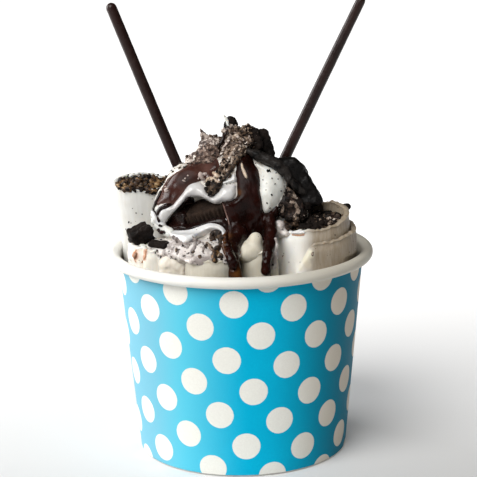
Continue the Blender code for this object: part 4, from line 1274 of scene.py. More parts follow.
def plain_heap(p):
    d = ball(p, (-6, -3, 83), (21.5, 23.5, 15))
    d = smin(d, ball(p, (-3, -4, 97), (21, 18.5, 17)), 6)
    d = smin(d, ball(p, (-2, -4, 107.5), (12, 10, 9.5)), 6)
    d = smin(d, ball(p, (-18.5, -9, 94.5), (13.2, 13, 11.5)), 5)
    d = smin(d, ball(p, (-19, -10, 105), (6.5, 8, 6)), 5)
    d = smin(d, ball(p, (9.5, -8, 99), (10.5, 12, 12)), 5)
    d = smin(d, ball(p, (20, -9, 92), (6.0, 8.0, 9.5)), 3)
    # the hollow in which the cookie shows, open above the cookie's lower face
    near = (d < 12) & (p[..., 1] < -12) & (p[..., 0] < 2) & (p[..., 2] > 80) & (p[..., 2] < 114)
    if near.any():
        q = p[near]
        c, _, half, _, _ = COOKIE
        level = (q - c.astype(np.float32)) @ cookie_turn().astype(np.float32)[:, 2]
        d[near] = smax(d[near], -np.maximum(-mouth(q), 0.8 - half - level), 1.2)
    return d


heap = banded(plain_heap, lambda q: 0.75 * fbm(q, 8.0, 2, 4) + 0.3 * noise(q, 2.8, 8))


def hit(x, y, lift=0.0, field=heap):
    """The point of a field's near side that is seen at a pixel, moved out by lift."""
    d = ray_of(x, y)
    t = DISTANCE - 75.0
    for _ in range(200):
        f = float(field((EYE + d * t)[None].astype(np.float32))[0])
        if f < 0.02:
            break
        t += max(0.05, f * 0.6)
        if t > DISTANCE + 75:
            break
    p = EYE + d * t
    if lift:
        g = np.array([float(field((p + 0.3 * e)[None].astype(np.float32))[0]) for e in np.eye(3)]) - float(
            field(p[None].astype(np.float32))[0]
        )
        p = p + lift * g / max(1e-6, np.linalg.norm(g))
    return p


def hits(points, field, lift=0.0):
    """The points of a field's near side that are seen at these pixels, moved out by lift. Misses are left out."""
    d = np.array([ray_of(x, y) for x, y in points])
    t = np.full(len(d), DISTANCE - 60.0)
    live = np.ones(len(d), bool)
    for _ in range(90):
        at = np.flatnonzero(live)
        f = field((EYE + d[at] * t[at, None]).astype(np.float32))
        live[at] = (f > 0.04) & (t[at] < DISTANCE + 60)
        if not live.any():
            break
        t[at] = np.where(live[at], t[at] + np.maximum(0.1, 0.7 * f), t[at])
    keep = (t < DISTANCE + 60) & ((EYE + d * t[:, None])[:, 1] < 30)
    p = (EYE + d * t[:, None])[keep]
    f = field(p.astype(np.float32))
    g = np.stack([field((p + 0.3 * e).astype(np.float32)) - f for e in np.eye(3)], 1)
    g /= np.maximum(np.linalg.norm(g, axis=1, keepdims=True), 1e-6)
    return p + lift * g, g, keep


FRONT = []  # what lies on the heap's front so far: field and box


def front(p):
    best = np.full(len(p), 1e3)
    for field, lo, hi in FRONT:
        near = np.sqrt((np.maximum(np.maximum(lo - p, p - hi), 0) ** 2).sum(-1)) < best
        if near.any():
            best[near] = np.minimum(best[near], field(p[near]))
    return best


def strand(name, path, mat, slot, lift=0.3, seed=0, rough=0.12, k=0.6, on=None, h=0.22, attributes=None):
    """A thin run or smear that follows image points (x, y, radius in mm) over what is already there."""
    fine = spline(path, 4) if len(path) > 2 else np.array(path, float)
    place, _, keep = hits(fine[:, :2], on or front, lift)
    line = [(*q, max(0.12, r)) for q, r in zip(place, fine[keep, 2])]
    if len(line) == 1:
        line = [line[0], (*(np.array(line[0][:3]) + 0.01), line[0][3])]
    far = max(q[3] for q in line) + 1.2
    pts = np.array(line)[:, :3]
    field = banded(lambda p: chain(p, line, k), lambda q: rough * noise(q, 1.3, seed), 2.0)
    return solid(name, field, pts.min(0) - far, pts.max(0) + far, h, mat, slot, rounds=1, attributes=attributes)


def blobs(name, spots, mat, slot, seed=0, lump=0.35, on=None, sink=0.25):
    """Separate small lumps at image points: (x, y, size in mm)."""
    place, out, keep = hits([(x, y) for x, y, _ in spots], on or front)
    sizes = np.array([s for _, _, s in spots])[keep]
    return crumb_cloud(name, place + out * (sizes * (0.5 - sink))[:, None], sizes, mat, slot, seed, level=3, lump=lump)


NETS = {}


def seen_within(v, x0, x1, y0, y1):
    x, y = in_image(v)
    return ((x > x0) & (x < x1) & (y > y0) & (y < y1)).astype(float)



def scatter(name, on, count, size, mat, slot, seed, where=None, level=2, lump=0.5, sink=0.15):
    """Loose crumbs spread over a piece made before."""
    rng = np.random.default_rng(seed)
    verts, out = NETS[on]
    share = np.ones(len(verts)) if where is None else np.clip(where(verts, out), 0, None)
    pick = rng.choice(len(verts), count, p=share / share.sum())
    sizes = size[0] + (size[1] - size[0]) * rng.uniform(0, 1, count) ** 2
    return crumb_cloud(name, verts[pick] + out[pick] * (sizes * (0.5 - sink))[:, None], sizes, mat, slot, seed, level=level, lump=lump)


def prism(points, y0, y1, rounded=1.2):
    """What is seen inside an outline, between two depths."""
    inside = region(points, far_y=1e6)

    def f(p):
        return smax(-inside(p), np.maximum(y0 - p[..., 1], p[..., 1] - y1), rounded)

    f.outline = inside.outline
    return f


def coat(base, inside, thick, soft=1.2, depth=0.9, wavy=0.0, seed=0, extra=None, k=2.0):
    """A layer that lies on a field inside a region, with rounded edges. extra is joined on smoothly."""
    reach = thick * 1.5 + depth + 2.0

    def f(p):
        d = base(p)
        out = np.maximum(np.abs(d) - 0.5, 1.5).astype(np.float32)
        near = np.abs(d) < reach
        if near.any():
            q, dn = p[near], d[near]
            r = inside(q)
            t = thick * (1 + wavy * noise(q, 6.0, seed)) if wavy else thick
            top = np.where(r > 0, t * (1 - np.exp(-np.maximum(r, 0) / soft)), r * 0.9)
            out[near] = np.maximum(dn - top, -(dn + depth))
        if extra is not None:
            out = smin(out, extra(p), k)
        return out

    return f


def solid(name, field, lo, hi, h, mat, slot, *nodes, rough=(), rounds=2, attributes=None, share=0.02, smooth_angle=None,
          index=None):
    verts, quads = net_of(field, lo, hi, h, rounds)
    verts, quads = keep_big(verts, quads, share)
    if rough:
        n = normals_of(verts, quads)
        verts = verts + n * sum(a * noise(verts, s, i + 40) for i, (a, s) in enumerate(rough))[:, None]
    extra = {k: f(verts) for k, f in (attributes or {}).items()}
    which = index(verts[quads].mean(1)) if index else None
    FRONT.append((field, np.asarray(lo, float), np.asarray(hi, float)))
    NETS[name] = (verts, normals_of(verts, quads))
    return piece(mesh_object(name, verts, quads, mat, attributes=extra, smooth_angle=smooth_angle, index=which), slot, *nodes)


# soft ice cream heap, with what has run over the front rolls
def low_mass(p):
    d = ball(p, (-25.5, -21.5, 82.0), (8.5, 7.5, 3.8))
    d = smin(d, ball(p, (-17, -27, 81.8), (9.5, 9.0, 4.6)), 3)
    d = smin(d, ball(p, (-10.0, -31.5, 81.6), (8.6, 10.2, 4.3)), 3)
    d = smin(d, ball(p, (-10.8, -33.1, 81.5), (10.9, 10.8, 2.1)), 1.2)
    return d


def heap_and_low(p):
    return smin(plain_heap(p), low_mass(p), 2.5)


heap_all = banded(heap_and_low, lambda q: 0.75 * fbm(q, 8.0, 2, 4) + 0.3 * noise(q, 2.8, 8))


def heap_and_cookie(p):
    return smin(heap_all(p), cookie_field(p), 1.5)


solid("cream_heap", heap_all, (-38, -41, 64), (32, 28, 121), 0.5, [M["speckled"], M["speckled_low"]], "cream", "cream_mound",
      rough=((0.22, 1.5), (0.12, 0.8)), index=lambda c: (c[:, 2] + 0.25 * c[:, 1] + 0.8 * noise(c, 2.5, 3) < 79.6).astype(int))

# chocolate sauce on the left
left_lobe = region([
    (160.5, 196), (162, 189), (164.5, 183.5), (168, 178.5), (173, 174.5), (179.5, 170.5), (185, 167), (189, 163.5), (193, 159), (198, 156),
    (205, 157), (212, 156.5), (217, 158), (219, 163), (219, 168), (216, 171), (213, 174), (215, 178), (212, 181), (206, 180),
    (200, 181), (195, 183), (190, 185), (187, 188), (184, 192), (180, 197), (176, 202), (172, 206), (167, 203.5), (162, 204),
    (158, 205), (157, 202),
], far_y=2.0)
lo, hi = box_of(left_lobe.outline, -30, 3)


def thin_and_sheen_left(v):
    x, y = in_image(v)
    out = np.exp(-np.maximum(left_lobe(v.astype(np.float32)), 0) / 0.7) * 0.8
    # painted sheen: a lighter band across the sauce at these image spots, carried on the thin attribute
    for sx, sy, sr, share in ((206, 168, 7.0, 0.7), (197, 172, 5.0, 0.35), (180, 190, 5.0, 0.08)):
        out = np.maximum(out, share * np.exp(-((x - sx) ** 2 + (y - sy) ** 2) / sr**2))
    return out


solid("sauce_left", coat(heap, left_lobe, 1.3, 1.0, wavy=0.35, seed=5), lo, hi, 0.46, M["milk_fudge"], "chocolate",
      attributes={"thin": thin_and_sheen_left})

# the main flow of sauce with its two runs over the front rolls
center_flow = region([
    (240, 156), (246, 152), (251, 153), (254, 162), (258, 170), (260, 180), (260, 192), (262, 203), (264, 212), (267, 214),
    (270, 211), (273, 208), (277, 206), (279, 210), (279, 218), (277, 226), (276, 234), (274, 240), (268, 242), (262, 240),
    (258, 236), (254, 233), (253, 238), (251, 242), (246, 244.5), (241, 247), (236, 249.5), (230, 249), (225, 247), (225, 243),
    (227, 237), (226, 229), (227, 222), (226, 214), (224, 206), (222, 202), (228, 202), (234, 200), (237, 195), (237, 188),
    (237, 181), (236, 174), (237, 166), (238, 160),
], far_y=-6.0)
RUN_1 = [(-0.5, -25.5, 88.5, 3.0), (-2.3, -29.0, 84.9, 3.0), (-2.9, -33, 83.0, 2.7), (-2.8, -36.3, 81.4, 2.2),
         (-2.4, -38.6, 79.4, 2.1), (-2.2, -39.2, 77, 2.4), (-2.0, -39.4, 74.0, 2.9)]
RUN_2 = [(11, -20.5, 92, 2.2), (11.2, -24.5, 88, 2.3), (10.6, -29, 84.6, 2.3), (9.8, -33, 82.0, 1.9), (9.2, -35.4, 79.2, 1.6),
         (9.0, -35.9, 76.6, 1.9)]


def runs(p):
    return np.minimum(chain(p, RUN_1, 0.8), chain(p, RUN_2, 0.8))


def amber(v):
    x, y = in_image(v)
    spots = ((226, 236, 4.0), (238, 274, 7.0), (227, 246, 4.0), (239, 192, 3.0))
    out = np.zeros(len(v))
    for sx, sy, sr in spots:
        out = np.maximum(out, np.exp(-((x - sx) ** 2 + (y - sy) ** 2) / sr**2))
    return out


solid("sauce_center", coat(heap_and_cookie, center_flow, 1.7, 1.1, wavy=0.3, seed=6, extra=runs, k=1.6), (-12, -43, 71), (20, -3, 119), 0.47,
      M["fudge"], "chocolate", attributes={"thin": amber})

# cream over the sauce
ribbon_upper = region([
    (155, 214), (157, 208), (161, 204.5), (167, 203), (172, 205.5), (176, 201), (182, 194), (186, 188), (189.5, 184.5),
    (195, 182.5), (201, 183), (204, 186), (207, 191), (210, 195), (214, 196), (218, 192), (220.5, 186.5), (222, 185),
    (228, 185), (233, 184), (235.5, 185), (236, 189), (236, 195), (233, 200), (228, 201.5), (222, 201.5), (217, 203.5),
    (213, 203), (208, 200), (203, 198), (198, 196.5), (192, 196), (187, 197.5), (184, 201), (180, 206), (175, 211),
    (170, 216), (167, 219.5), (165, 223), (160, 224), (156, 220),
], far_y=-2.0)
lo, hi = box_of(ribbon_upper.outline, -32, 0)
# the upper ribbon takes the greyer copy of the glossy cream: painted shade
solid("cream_ribbon_upper", coat(heap, ribbon_upper, 2.1, 1.3, wavy=0.15, seed=9), lo, hi, 0.46, M["glossy_painted_shade"], "cream")

ridge = region([(218, 183.5), (224, 181), (230, 178.5), (233, 174), (236, 176), (237, 181), (230, 182.5), (224, 184)], far_y=-2.0)
lo, hi = box_of(ridge.outline, -32, 0)
solid("cream_ridge", coat(heap, ridge, 2.4, 0.7), lo, hi, 0.35, M["glossy"], "cream")

ribbon_lower = region([
    (160, 230), (165, 228), (171, 229), (178, 229.5), (188, 229), (196, 226.5), (202, 224), (208, 222), (214, 222), (220, 224),
    (225, 228), (227.5, 234), (227, 240), (223, 247), (220.5, 243), (220.5, 236), (217.5, 232), (212, 231.5), (206, 234.5),
    (199, 238), (192, 241), (185, 243.5), (178, 241), (170, 238), (163, 235.5),
], far_y=-2.0)
lo, hi = box_of(ribbon_lower.outline, -38, -4)
solid("cream_ribbon_lower", coat(heap_all, ribbon_lower, 2.9, 1.6, wavy=0.12, seed=10), lo, hi, 0.4, M["glossy"], "cream")

patch_right = region([
    (255, 163), (257, 166), (260, 168), (262, 172), (260.5, 178), (260, 185), (260.5, 193), (262, 200), (263.5, 208),
    (264.5, 213), (269, 213.5), (274, 209), (277, 204), (280, 199), (283, 194), (286, 188), (285, 183), (283, 178),
    (281.5, 173), (277, 169), (272, 167), (268, 165.5), (263, 166), (259, 164),
], far_y=4.0)
lo, hi = box_of(patch_right.outline, -30, 4)
solid("cream_patch_right", coat(heap, patch_right, 1.9, 1.6, wavy=0.1, seed=11), lo, hi, 0.4, M["speckled_smooth"], "cream")

blobs("specks_patch_right", [(268, 171, 0.6), (269.5, 170, 0.4), (276, 173, 0.3), (275, 184, 0.35), (281, 191, 0.35), (271.5, 195, 0.42),
                              (267, 203, 0.42), (284, 186, 0.25), (263, 180, 0.25), (278, 179, 0.25), (270, 208, 0.3), (266, 190, 0.22)],
      M["chunk"], "crumb", 182, sink=0.4)

# crumb on the right, above the big roll
crumb_right_side = region([
    (279, 206), (282, 200), (286, 193), (288, 186), (293, 189), (299, 196), (305, 203), (308, 211), (306, 220), (304, 228),
    (300, 233), (294, 233), (290, 228), (287, 221), (283, 219), (280, 214),
], far_y=8.0)
lo, hi = box_of(crumb_right_side.outline, -30, 9)
solid("crumb_side", coat(heap, crumb_right_side, 1.5, 1.2, wavy=0.5, seed=12), lo, hi, 0.42, M["crumb_shade"], "crumb",
      rough=((0.6, 2.2), (0.4, 1.1)))
scatter("crumb_side_grains", "crumb_side", 230, (0.3, 1.1), M["chunk"], "crumb", 121, lambda v, n: (v[:, 1] < 4) * np.clip(0.4 + noise(v, 3.0, 122), 0, 1))
scatter("crumb_side_grains_light", "crumb_side", 45, (0.25, 0.8), M["crumb_cream"], "crumb", 123, lambda v, n: (v[:, 1] < 4) * np.clip(noise(v, 3.5, 124), 0, 1))
strand("cream_smear_right_a", [(287, 188, 0.3), (289.5, 191, 0.6), (292, 194.5, 0.7), (296, 198, 0.4)], M["crumb_light"], "crumb", 0.0, seed=125, rough=0.3)
strand("cream_smear_right_b", [(290, 202.5, 0.3), (293, 202.5, 0.5), (296, 206, 0.5), (298, 210, 0.55), (297, 214.5, 0.5), (294, 217, 0.3)],
       M["crumb_light"], "crumb", 0.05, seed=126, rough=0.3)
strand("cream_smear_right_c", [(281, 204, 0.3), (283, 208, 0.45), (282, 212, 0.4)], M["crumb_light"], "crumb", 0.0, seed=127, rough=0.3)


# the crumbly peak: a leaning plate of crumb, and lighter crumb in cream on its left
def peak(p):
    d = ball(p, (-2.7, -7, 115.2), (4.9, 5.4, 6.6))
    d = smin(d, ball(p, (0.4, -6, 117.2), (4.8, 5.0, 5.0)), 2.0)
    d = smin(d, ball(p, (-1.8, -5, 121.0), (3.2, 3.4, 3.4)), 1.5)
    # the plate that leans on the front
    d = smin(d, chain(p, [(1.6, -9, 117.8, 3.0), (-2.2, -12.6, 112.8, 3.4), (-5.6, -16.6, 108.6, 2.7), (-8.2, -19.6, 105.4, 1.3)]), 1.2)
    return d


def cream_peak(p):
    d = ball(p, (-9.6, -7.0, 114.9), (5.0, 4.8, 6.0))
    d = smin(d, ball(p, (-14.6, -8, 110.8), (5.4, 5.0, 4.2)), 3)
    d = smin(d, ball(p, (-9.0, -9, 110.6), (4.6, 4.6, 4.2)), 3)
    d = smin(d, chain(p, [(-11.6, -6, 118.0, 2.0), (-13.0, -6, 121.0, 1.0), (-13.9, -6, 123.4, 0.5)]), 1.0)
    return d


rough_peak = banded(peak, lambda q: 0.7 * fbm(q, 3.4, 2, 31) + 0.6 * noise(q, 1.4, 33), 4.0)
solid("crumb_peak_mass", rough_peak, (-14, -24, 101), (9, 2, 127), 0.4, M["crumb_peak"], "crumb", rough=((0.4, 0.9),))
rough_cream_peak = banded(cream_peak, lambda q: 0.55 * fbm(q, 3.0, 2, 36) + 0.5 * noise(q, 1.3, 37), 4.0)
# the cream peak is lighter crumb in cream at its top and left and darker crumb at its lower right: partly painted shade
solid("cream_peak_left", rough_cream_peak, (-24, -18, 104), (-3, 1, 127), 0.36, [M["crumb_left_peak"], M["crumb_cream"]], "crumb", rough=((0.45, 0.9),),
      index=lambda c: (0.16 * (c[:, 2] - 117) - 0.1 * (c[:, 0] + 10) + noise(c, 2.6, 39) > 0.15).astype(int))
solid("sauce_groove", banded(lambda p: chain(p, [(-4.3, -8.8, 122.6, 0.4), (-5.6, -10.0, 119.8, 0.6), (-7.4, -10.8, 116.6, 0.65), (-8.6, -11.2, 114.4, 0.5)]),
      lambda q: 0.55 * noise(q, 1.3, 38), 2.0), (-13, -16, 110), (-1, -5, 127), 0.26, M["wedge"], "chocolate",
      attributes={"thin": lambda v: np.zeros(len(v))})


def nub(p):
    d = ball(p, (-2.6, -4, 124.2), (2.3, 2.1, 3.4))
    d = smin(d, ball(p, (-3.6, -4.6, 120.4), (2.2, 2.2, 3.2)), 1.5)
    return d


solid("crumb_peak_nub", banded(nub, lambda q: 0.6 * fbm(q, 2.4, 2, 35), 3.0), (-8, -9, 114), (3, 1, 130), 0.32, M["chunk"], "crumb",
      "crumb_peak", rough=((0.25, 0.8),))
solid("cream_peak_wisp", lambda p: chain(p, [(-3.4, -5, 124.4, 0.8), (-4.3, -5, 126.6, 0.55), (-5.2, -5, 128.0, 0.28)]),
      (-8, -8, 122), (0, -2, 130), 0.22, M["speckled_smooth"], "cream")


# dark grains gather at the peak's lower right and cream grains at its upper left: painted shade and painted light over
# crumb of both colours
scatter("crumb_peak_grains_dark", "crumb_peak_mass", 210, (0.22, 0.7), M["chunk"], "crumb", 101,
        lambda v, n: np.clip(0.3 + noise(v, 3.0, 102) + 0.05 * (v[:, 0] + 3) + 0.12 * (112 - v[:, 2]), 0, 1))
scatter("crumb_peak_grains_brown", "crumb_peak_mass", 210, (0.25, 0.75), M["crumb"], "crumb", 103)
scatter("crumb_peak_grains_cream", "crumb_peak_mass", 230, (0.22, 0.75), M["crumb_cream"], "crumb", 104,
        lambda v, n: np.clip(0.2 + noise(v, 3.0, 105) - 0.09 * (v[:, 0] + 3) + 0.05 * (v[:, 2] - 112), 0, 1))
scatter("cream_peak_grains", "cream_peak_left", 250, (0.22, 0.75), M["crumb"], "crumb", 106,
        lambda v, n: np.clip(0.2 + noise(v, 3.0, 107), 0, 1))


# broken cookie pieces
def rotated(angles):
    ax, ay, az = np.radians(angles)
    rx = np.array([[1, 0, 0], [0, math.cos(ax), -math.sin(ax)], [0, math.sin(ax), math.cos(ax)]])
    ry = np.array([[math.cos(ay), 0, math.sin(ay)], [0, 1, 0], [-math.sin(ay), 0, math.cos(ay)]])
    rz = np.array([[math.cos(az), -math.sin(az), 0], [math.sin(az), math.cos(az), 0], [0, 0, 1]])
    return (rz @ ry @ rx).astype(np.float32)


def block(p, c, half, angles, r=0.6):
    """Distance to a rounded box."""
    q = np.abs((p - np.asarray(c, np.float32)) @ rotated(angles)) - (np.asarray(half, np.float32) - r)
    return np.sqrt((np.maximum(q, 0) ** 2).sum(-1)) + np.minimum(q.max(-1), 0) - r


chunk_a = prism([(241, 133), (243.5, 128), (248, 126), (254, 128), (259, 131), (262, 137), (262, 146), (258, 152), (250, 151),
                 (243, 149), (240, 142)], -9.0, -1.5, 1.6)
chunk_b = prism([(256, 133), (261, 130), (267, 130.5), (270, 136), (270.5, 142), (273, 149), (274.5, 156), (270, 159), (262, 157),
                 (256, 152), (254, 143)], -7.0, 2.5, 1.6)


def chunks(p):
    return smin(chunk_a(p), chunk_b(p), 0.7)


solid("cookie_chunk_top_broken", banded(chunks, lambda q: 0.8 * fbm(q, 3.2, 2, 51) + 0.35 * noise(q, 1.3, 52), 3.0),
      (-3, -12, 108), (18, 5, 127), 0.36, M["chunk"], "cookie", "cookie_chunk_top", rough=((0.2, 0.7),))

scatter("crumb_on_chunk", "cookie_chunk_top_broken", 260, (0.25, 0.75), M["crumb"], "crumb", 141,
        lambda v, n: ((v[:, 0] < 8) & (n[:, 1] < 0.4)) * np.clip((8 - v[:, 0]) / 5, 0, 1) * np.clip(0.6 + noise(v, 2.5, 142), 0, 1))
scatter("crumb_on_chunk_light", "cookie_chunk_top_broken", 130, (0.2, 0.6), M["crumb_peak"], "crumb", 146,
        lambda v, n: ((v[:, 0] < 6.5) & (n[:, 1] < 0.4)) * np.clip((6.5 - v[:, 0]) / 4, 0, 1) * np.clip(0.5 + noise(v, 2.5, 147), 0, 1))
strand("crumb_streak_a", [(238, 147, 0.3), (234, 151, 0.45), (230, 157, 0.35), (225, 165, 0.25)], M["crumb_light"], "crumb", 0.2, seed=143)
strand("crumb_streak_b", [(231, 137, 0.3), (227, 144, 0.5), (223, 150, 0.5), (220, 157, 0.3)], M["crumb_cream"], "crumb", 0.2, seed=144)
strand("crumb_streak_c", [(245, 147, 0.5), (239, 156, 0.8), (234, 164, 0.8), (228, 173, 0.7), (222, 180, 0.4)], M["crumb"], "crumb", 0.2, seed=145)

slab_body = prism([(252, 151), (262, 152), (272, 155.5), (279, 158.5), (286, 157.5), (293, 158.5), (299, 161.5), (304, 166.5),
                   (307.5, 173), (312, 181), (317, 189), (321, 195), (323, 200), (321, 204), (314, 205), (308, 206.5), (303, 205.5),
                   (299, 199), (294, 193), (290, 187), (284, 179), (276, 173), (268, 167), (258, 162), (252, 158)], -15.0, -1.0, 2.2)
SLAB_LIP = [(*at_depth(249, 151, -12.5), 1.1), (*at_depth(258, 156, -14.0), 1.4), (*at_depth(268, 160, -15.0), 1.5),
            (*at_depth(277, 165, -15.6), 1.5), (*at_depth(284, 171.5, -16.0), 1.4), (*at_depth(289, 179, -16.2), 1.4),
            (*at_depth(296, 186, -16.0), 1.2), (*at_depth(303, 193, -15.0), 1.0)]


def slab(p):
    return smin(slab_body(p), chain(p, SLAB_LIP, 1.0), 1.2)


# the lip along the slab's front edge takes the lighter, smoother finish: painted sheen
solid("cookie_slab_broken", banded(slab, lambda q: 0.9 * smooth(12, 20, q[..., 0]) * fbm(q, 3.4, 3, 55) + 0.25 * noise(q, 2.4, 56), 3.5),
      (0, -20, 84), (36, 4, 118), 0.4, [M["slab"], M["slab_lip_painted_sheen"]], "cookie", "cookie_slab", rough=((0.14, 0.8),),
      index=lambda c: (chain(c, SLAB_LIP) + 0.5 * noise(c, 1.6, 57) < 0.5).astype(int))


def left_chunk(p):
    d = block(p, (-36.6, -18, 86.4), (4.0, 3.0, 2.9), (15, -22, 20))
    return smin(d, ball(p, (-34.0, -19.0, 87.4), (2.6, 2.4, 2.6)), 1.0)


solid("cookie_chunk_left_broken", banded(left_chunk, lambda q: 0.8 * fbm(q, 2.8, 2, 61) + 0.25 * noise(q, 1.1, 62), 3.0),
      (-46, -27, 78), (-27, -10, 96), 0.34, M["chunk"], "cookie", "cookie_chunk_left", rough=((0.22, 0.7),))
solid("cookie_chip_left", banded(lambda p: block(p, (-29.6, -25.5, 84.6), (3.3, 2.0, 0.9), (8, 6, -20), 0.5), lambda q: 0.5 * fbm(q, 2.2, 2, 64), 2.0),
      (-36, -31, 80), (-22, -19, 89), 0.3, M["chunk"], "cookie")


# the cookie: a ridged edge and a stamped ring on the face
def make_cookie():
    center, radius, half, _, _ = COOKIE
    ridges = 80
    sides = ridges * 6
    ang = np.arange(sides) * TAU / sides
    tooth = 0.5 + 0.5 * np.cos(ridges * ang)
    rows = []  # (radius, height, share of the ridges' depth)
    for q in np.linspace(0.02, 0.86, 30):
        step = 0.3 * (smooth(0.60, 0.63, q) - smooth(0.70, 0.73, q)) - 0.25 * smooth(0.78, 0.82, q)
        rows.append((radius * q, half + step, 0))
    rows += [(radius - 2.2, half - 0.2, 0.3), (radius - 1.3, half - 0.15, 0.8), (radius - 0.6, half - 0.2, 1), (radius - 0.15, half - 0.6, 1)]
    for z in np.linspace(half - 1.0, -half + 1.0, 8):
        rows.append((radius, z, 1))
    rows += [(radius - 0.15, -half + 0.6, 1), (radius - 0.6, -half + 0.2, 1), (radius - 1.4, -half, 0.2), (0.4, -half, 0)]
    prof = np.array(rows)
    R = prof[:, 0][None] - 0.8 * prof[:, 2][None] * (1 - tooth)[:, None]
    verts = np.stack([R * np.cos(ang)[:, None], R * np.sin(ang)[:, None], np.repeat(prof[:, 1][None], sides, 0)], -1).reshape(-1, 3)
    verts = verts + 0.12 * np.stack([noise(verts, 1.4, 71), noise(verts, 1.4, 72), noise(verts, 1.0, 73)], -1)
    # the broken back edge
    jag = 0.5 * noise(verts * [1, 0, 0] + 5, 3.0, 75) + 0.3 * noise(verts * [1, 0, 1] + 5, 1.2, 76)
    past = np.maximum(0, 0.8 * (verts[:, 1] - 8.0) - 0.6 * verts[:, 0] + jag)
    verts = verts - past[:, None] * np.array([-0.6, 0.8, 0])
    jag = 0.5 * noise(verts * [0, 1, 0] + 9, 3.0, 78) + 0.3 * noise(verts * [0, 1, 1] + 9, 1.2, 79)
    verts[:, 0] = np.minimum(verts[:, 0], 11.0 + jag)
    turned = verts @ cookie_turn().T + center
    faces = grid_faces(sides, len(prof), wrap=True)
    if (normals_of(turned, faces) * (turned - turned.mean(0))).sum() < 0:
        faces = faces[:, ::-1]
    obj = mesh_object("cookie_ridged", turned, faces, M["cookie"], smooth_angle=40)
    return piece(obj, "cookie", "cookie")


make_cookie()

# sauce over the cookie's left end, run on as a dark film along the cookie's lower edge: painted shade under the cookie
wedge = region([(190, 197), (194, 199), (192, 205), (188, 210), (185.5, 215), (185.5, 222), (187, 225), (195, 224.5), (205, 221.5),
                (214, 219.5), (222, 218.5), (229, 222), (233, 229), (226, 232), (220, 227.5), (214, 225.5), (208, 225.5), (202, 228),
                (196, 230), (188, 232), (178, 232.5), (170, 232), (164, 228), (166, 222), (170, 217), (176, 210), (182, 203),
                (186, 198)], far_y=-4.0)
lo, hi = box_of(wedge.outline, -34, -6)
solid("sauce_and_painted_shade_on_cookie", coat(heap_and_cookie, wedge, 0.9, 0.7, wavy=0.2, seed=15), lo, hi, 0.41, M["wedge"], "chocolate",
      attributes={"thin": lambda v: np.zeros(len(v))})

# the rounded inner end of the centre roll
core_tip, core_side = at_depth(255.0, 239.5, -28.5), at_depth(246.5, 252.5, -30.0)


def core(p):
    d = smin(ball(p, (4.2, -28.0, 81.4), (4.8, 4.9, 4.9)), ball(p, core_tip, (2.5, 2.6, 2.7)), 1.6)
    return smin(d, ball(p, core_side, (3.4, 3.2, 3.0)), 1.4)


solid("roll_center_core", banded(core, lambda q: 0.35 * fbm(q, 4, 2, 77), 3.0),
      (-4, -37, 73), (11, -21, 90), 0.35, M["ice_center"], "ice_cream")

# a lump of crumb on the upper ribbon
ball_place = hit(214, 188, 1.2)
solid("crumb_lump", banded(lambda p: smin(ball(p, ball_place + np.array([-0.5, 0.2, -0.4]), (2.3, 2.1, 2.5)),
                                         ball(p, ball_place + np.array([1.2, 0.0, 0.9]), (1.9, 1.7, 1.5)), 0.6),
                           lambda q: 0.95 * fbm(q, 2.2, 2, 81), 3.0),
      ball_place - 6, ball_place + 6, 0.28, M["crumb"], "crumb", rough=((0.35, 0.8),))
blobs("crumb_lump_bits", [(208.5, 184, 1.2), (217.5, 189.5, 1.0), (210, 193, 1.1), (219, 184, 0.9), (214, 181.5, 1.0), (206.5, 189, 0.8)],
      M["chunk"], "crumb", 202)

# soft lumps that have run onto the rim of the big roll at the right
def right_rim(p):
    d = ball(p, (14.4, -20.6, 88.6), (2.2, 2.2, 3.2))
    return smin(d, ball(p, (16.6, -21.0, 86.9), (2.6, 2.2, 1.5)), 1.2)


solid("cream_lumps_right", banded(right_rim, lambda q: 0.6 * fbm(q, 3.0, 2, 131), 3.0), (8, -27, 82), (24, -15, 96), 0.34,
      M["speckled_low"], "cream", rough=((0.2, 0.8),))
blobs("crumb_lumps_edge", [(308, 205.5, 1.4), (309, 209, 1.5), (309, 212.5, 1.4), (309, 216, 1.5), (308, 219.5, 1.6), (306, 222.5, 1.3), (310, 220, 1.0)],
      M["chunk"], "crumb", 201)
blobs("crumb_lumps_right", [(288, 225, 1.4), (286, 228, 1.0), (286, 222, 1.0), (291, 226, 1.3), (296, 224, 1.5), (299, 229, 1.2), (293, 230, 0.9),
                            (303, 228, 1.3), (288, 230, 0.8), (297, 219, 1.2)], M["crumb"], "crumb", 132)
chip = at_depth(346.0, 207.0, -6.0)
solid("crumb_on_rim", banded(lambda p: ball(p, chip, (1.9, 1.6, 1.3)), lambda q: 0.4 * fbm(q, 1.8, 2, 133), 2.0), chip - 4, chip + 4,
      0.28, M["chunk"], "crumb")

# the left edge of the first run of sauce, amber where it is thin
strand("sauce_run_edge", [(227.5, 231, 0.6), (226, 237, 1.1), (225.5, 243, 1.4), (227, 249, 1.6), (229.5, 255, 1.7), (232, 262, 1.5), (233.5, 268, 1.0)],
       M["fudge"], "chocolate", -0.2, seed=221, rough=0.3, h=0.26,
       attributes={"thin": lambda v: np.clip((226.5 - in_image(v)[0]) / 2.5, 0, 1) * 0.85})

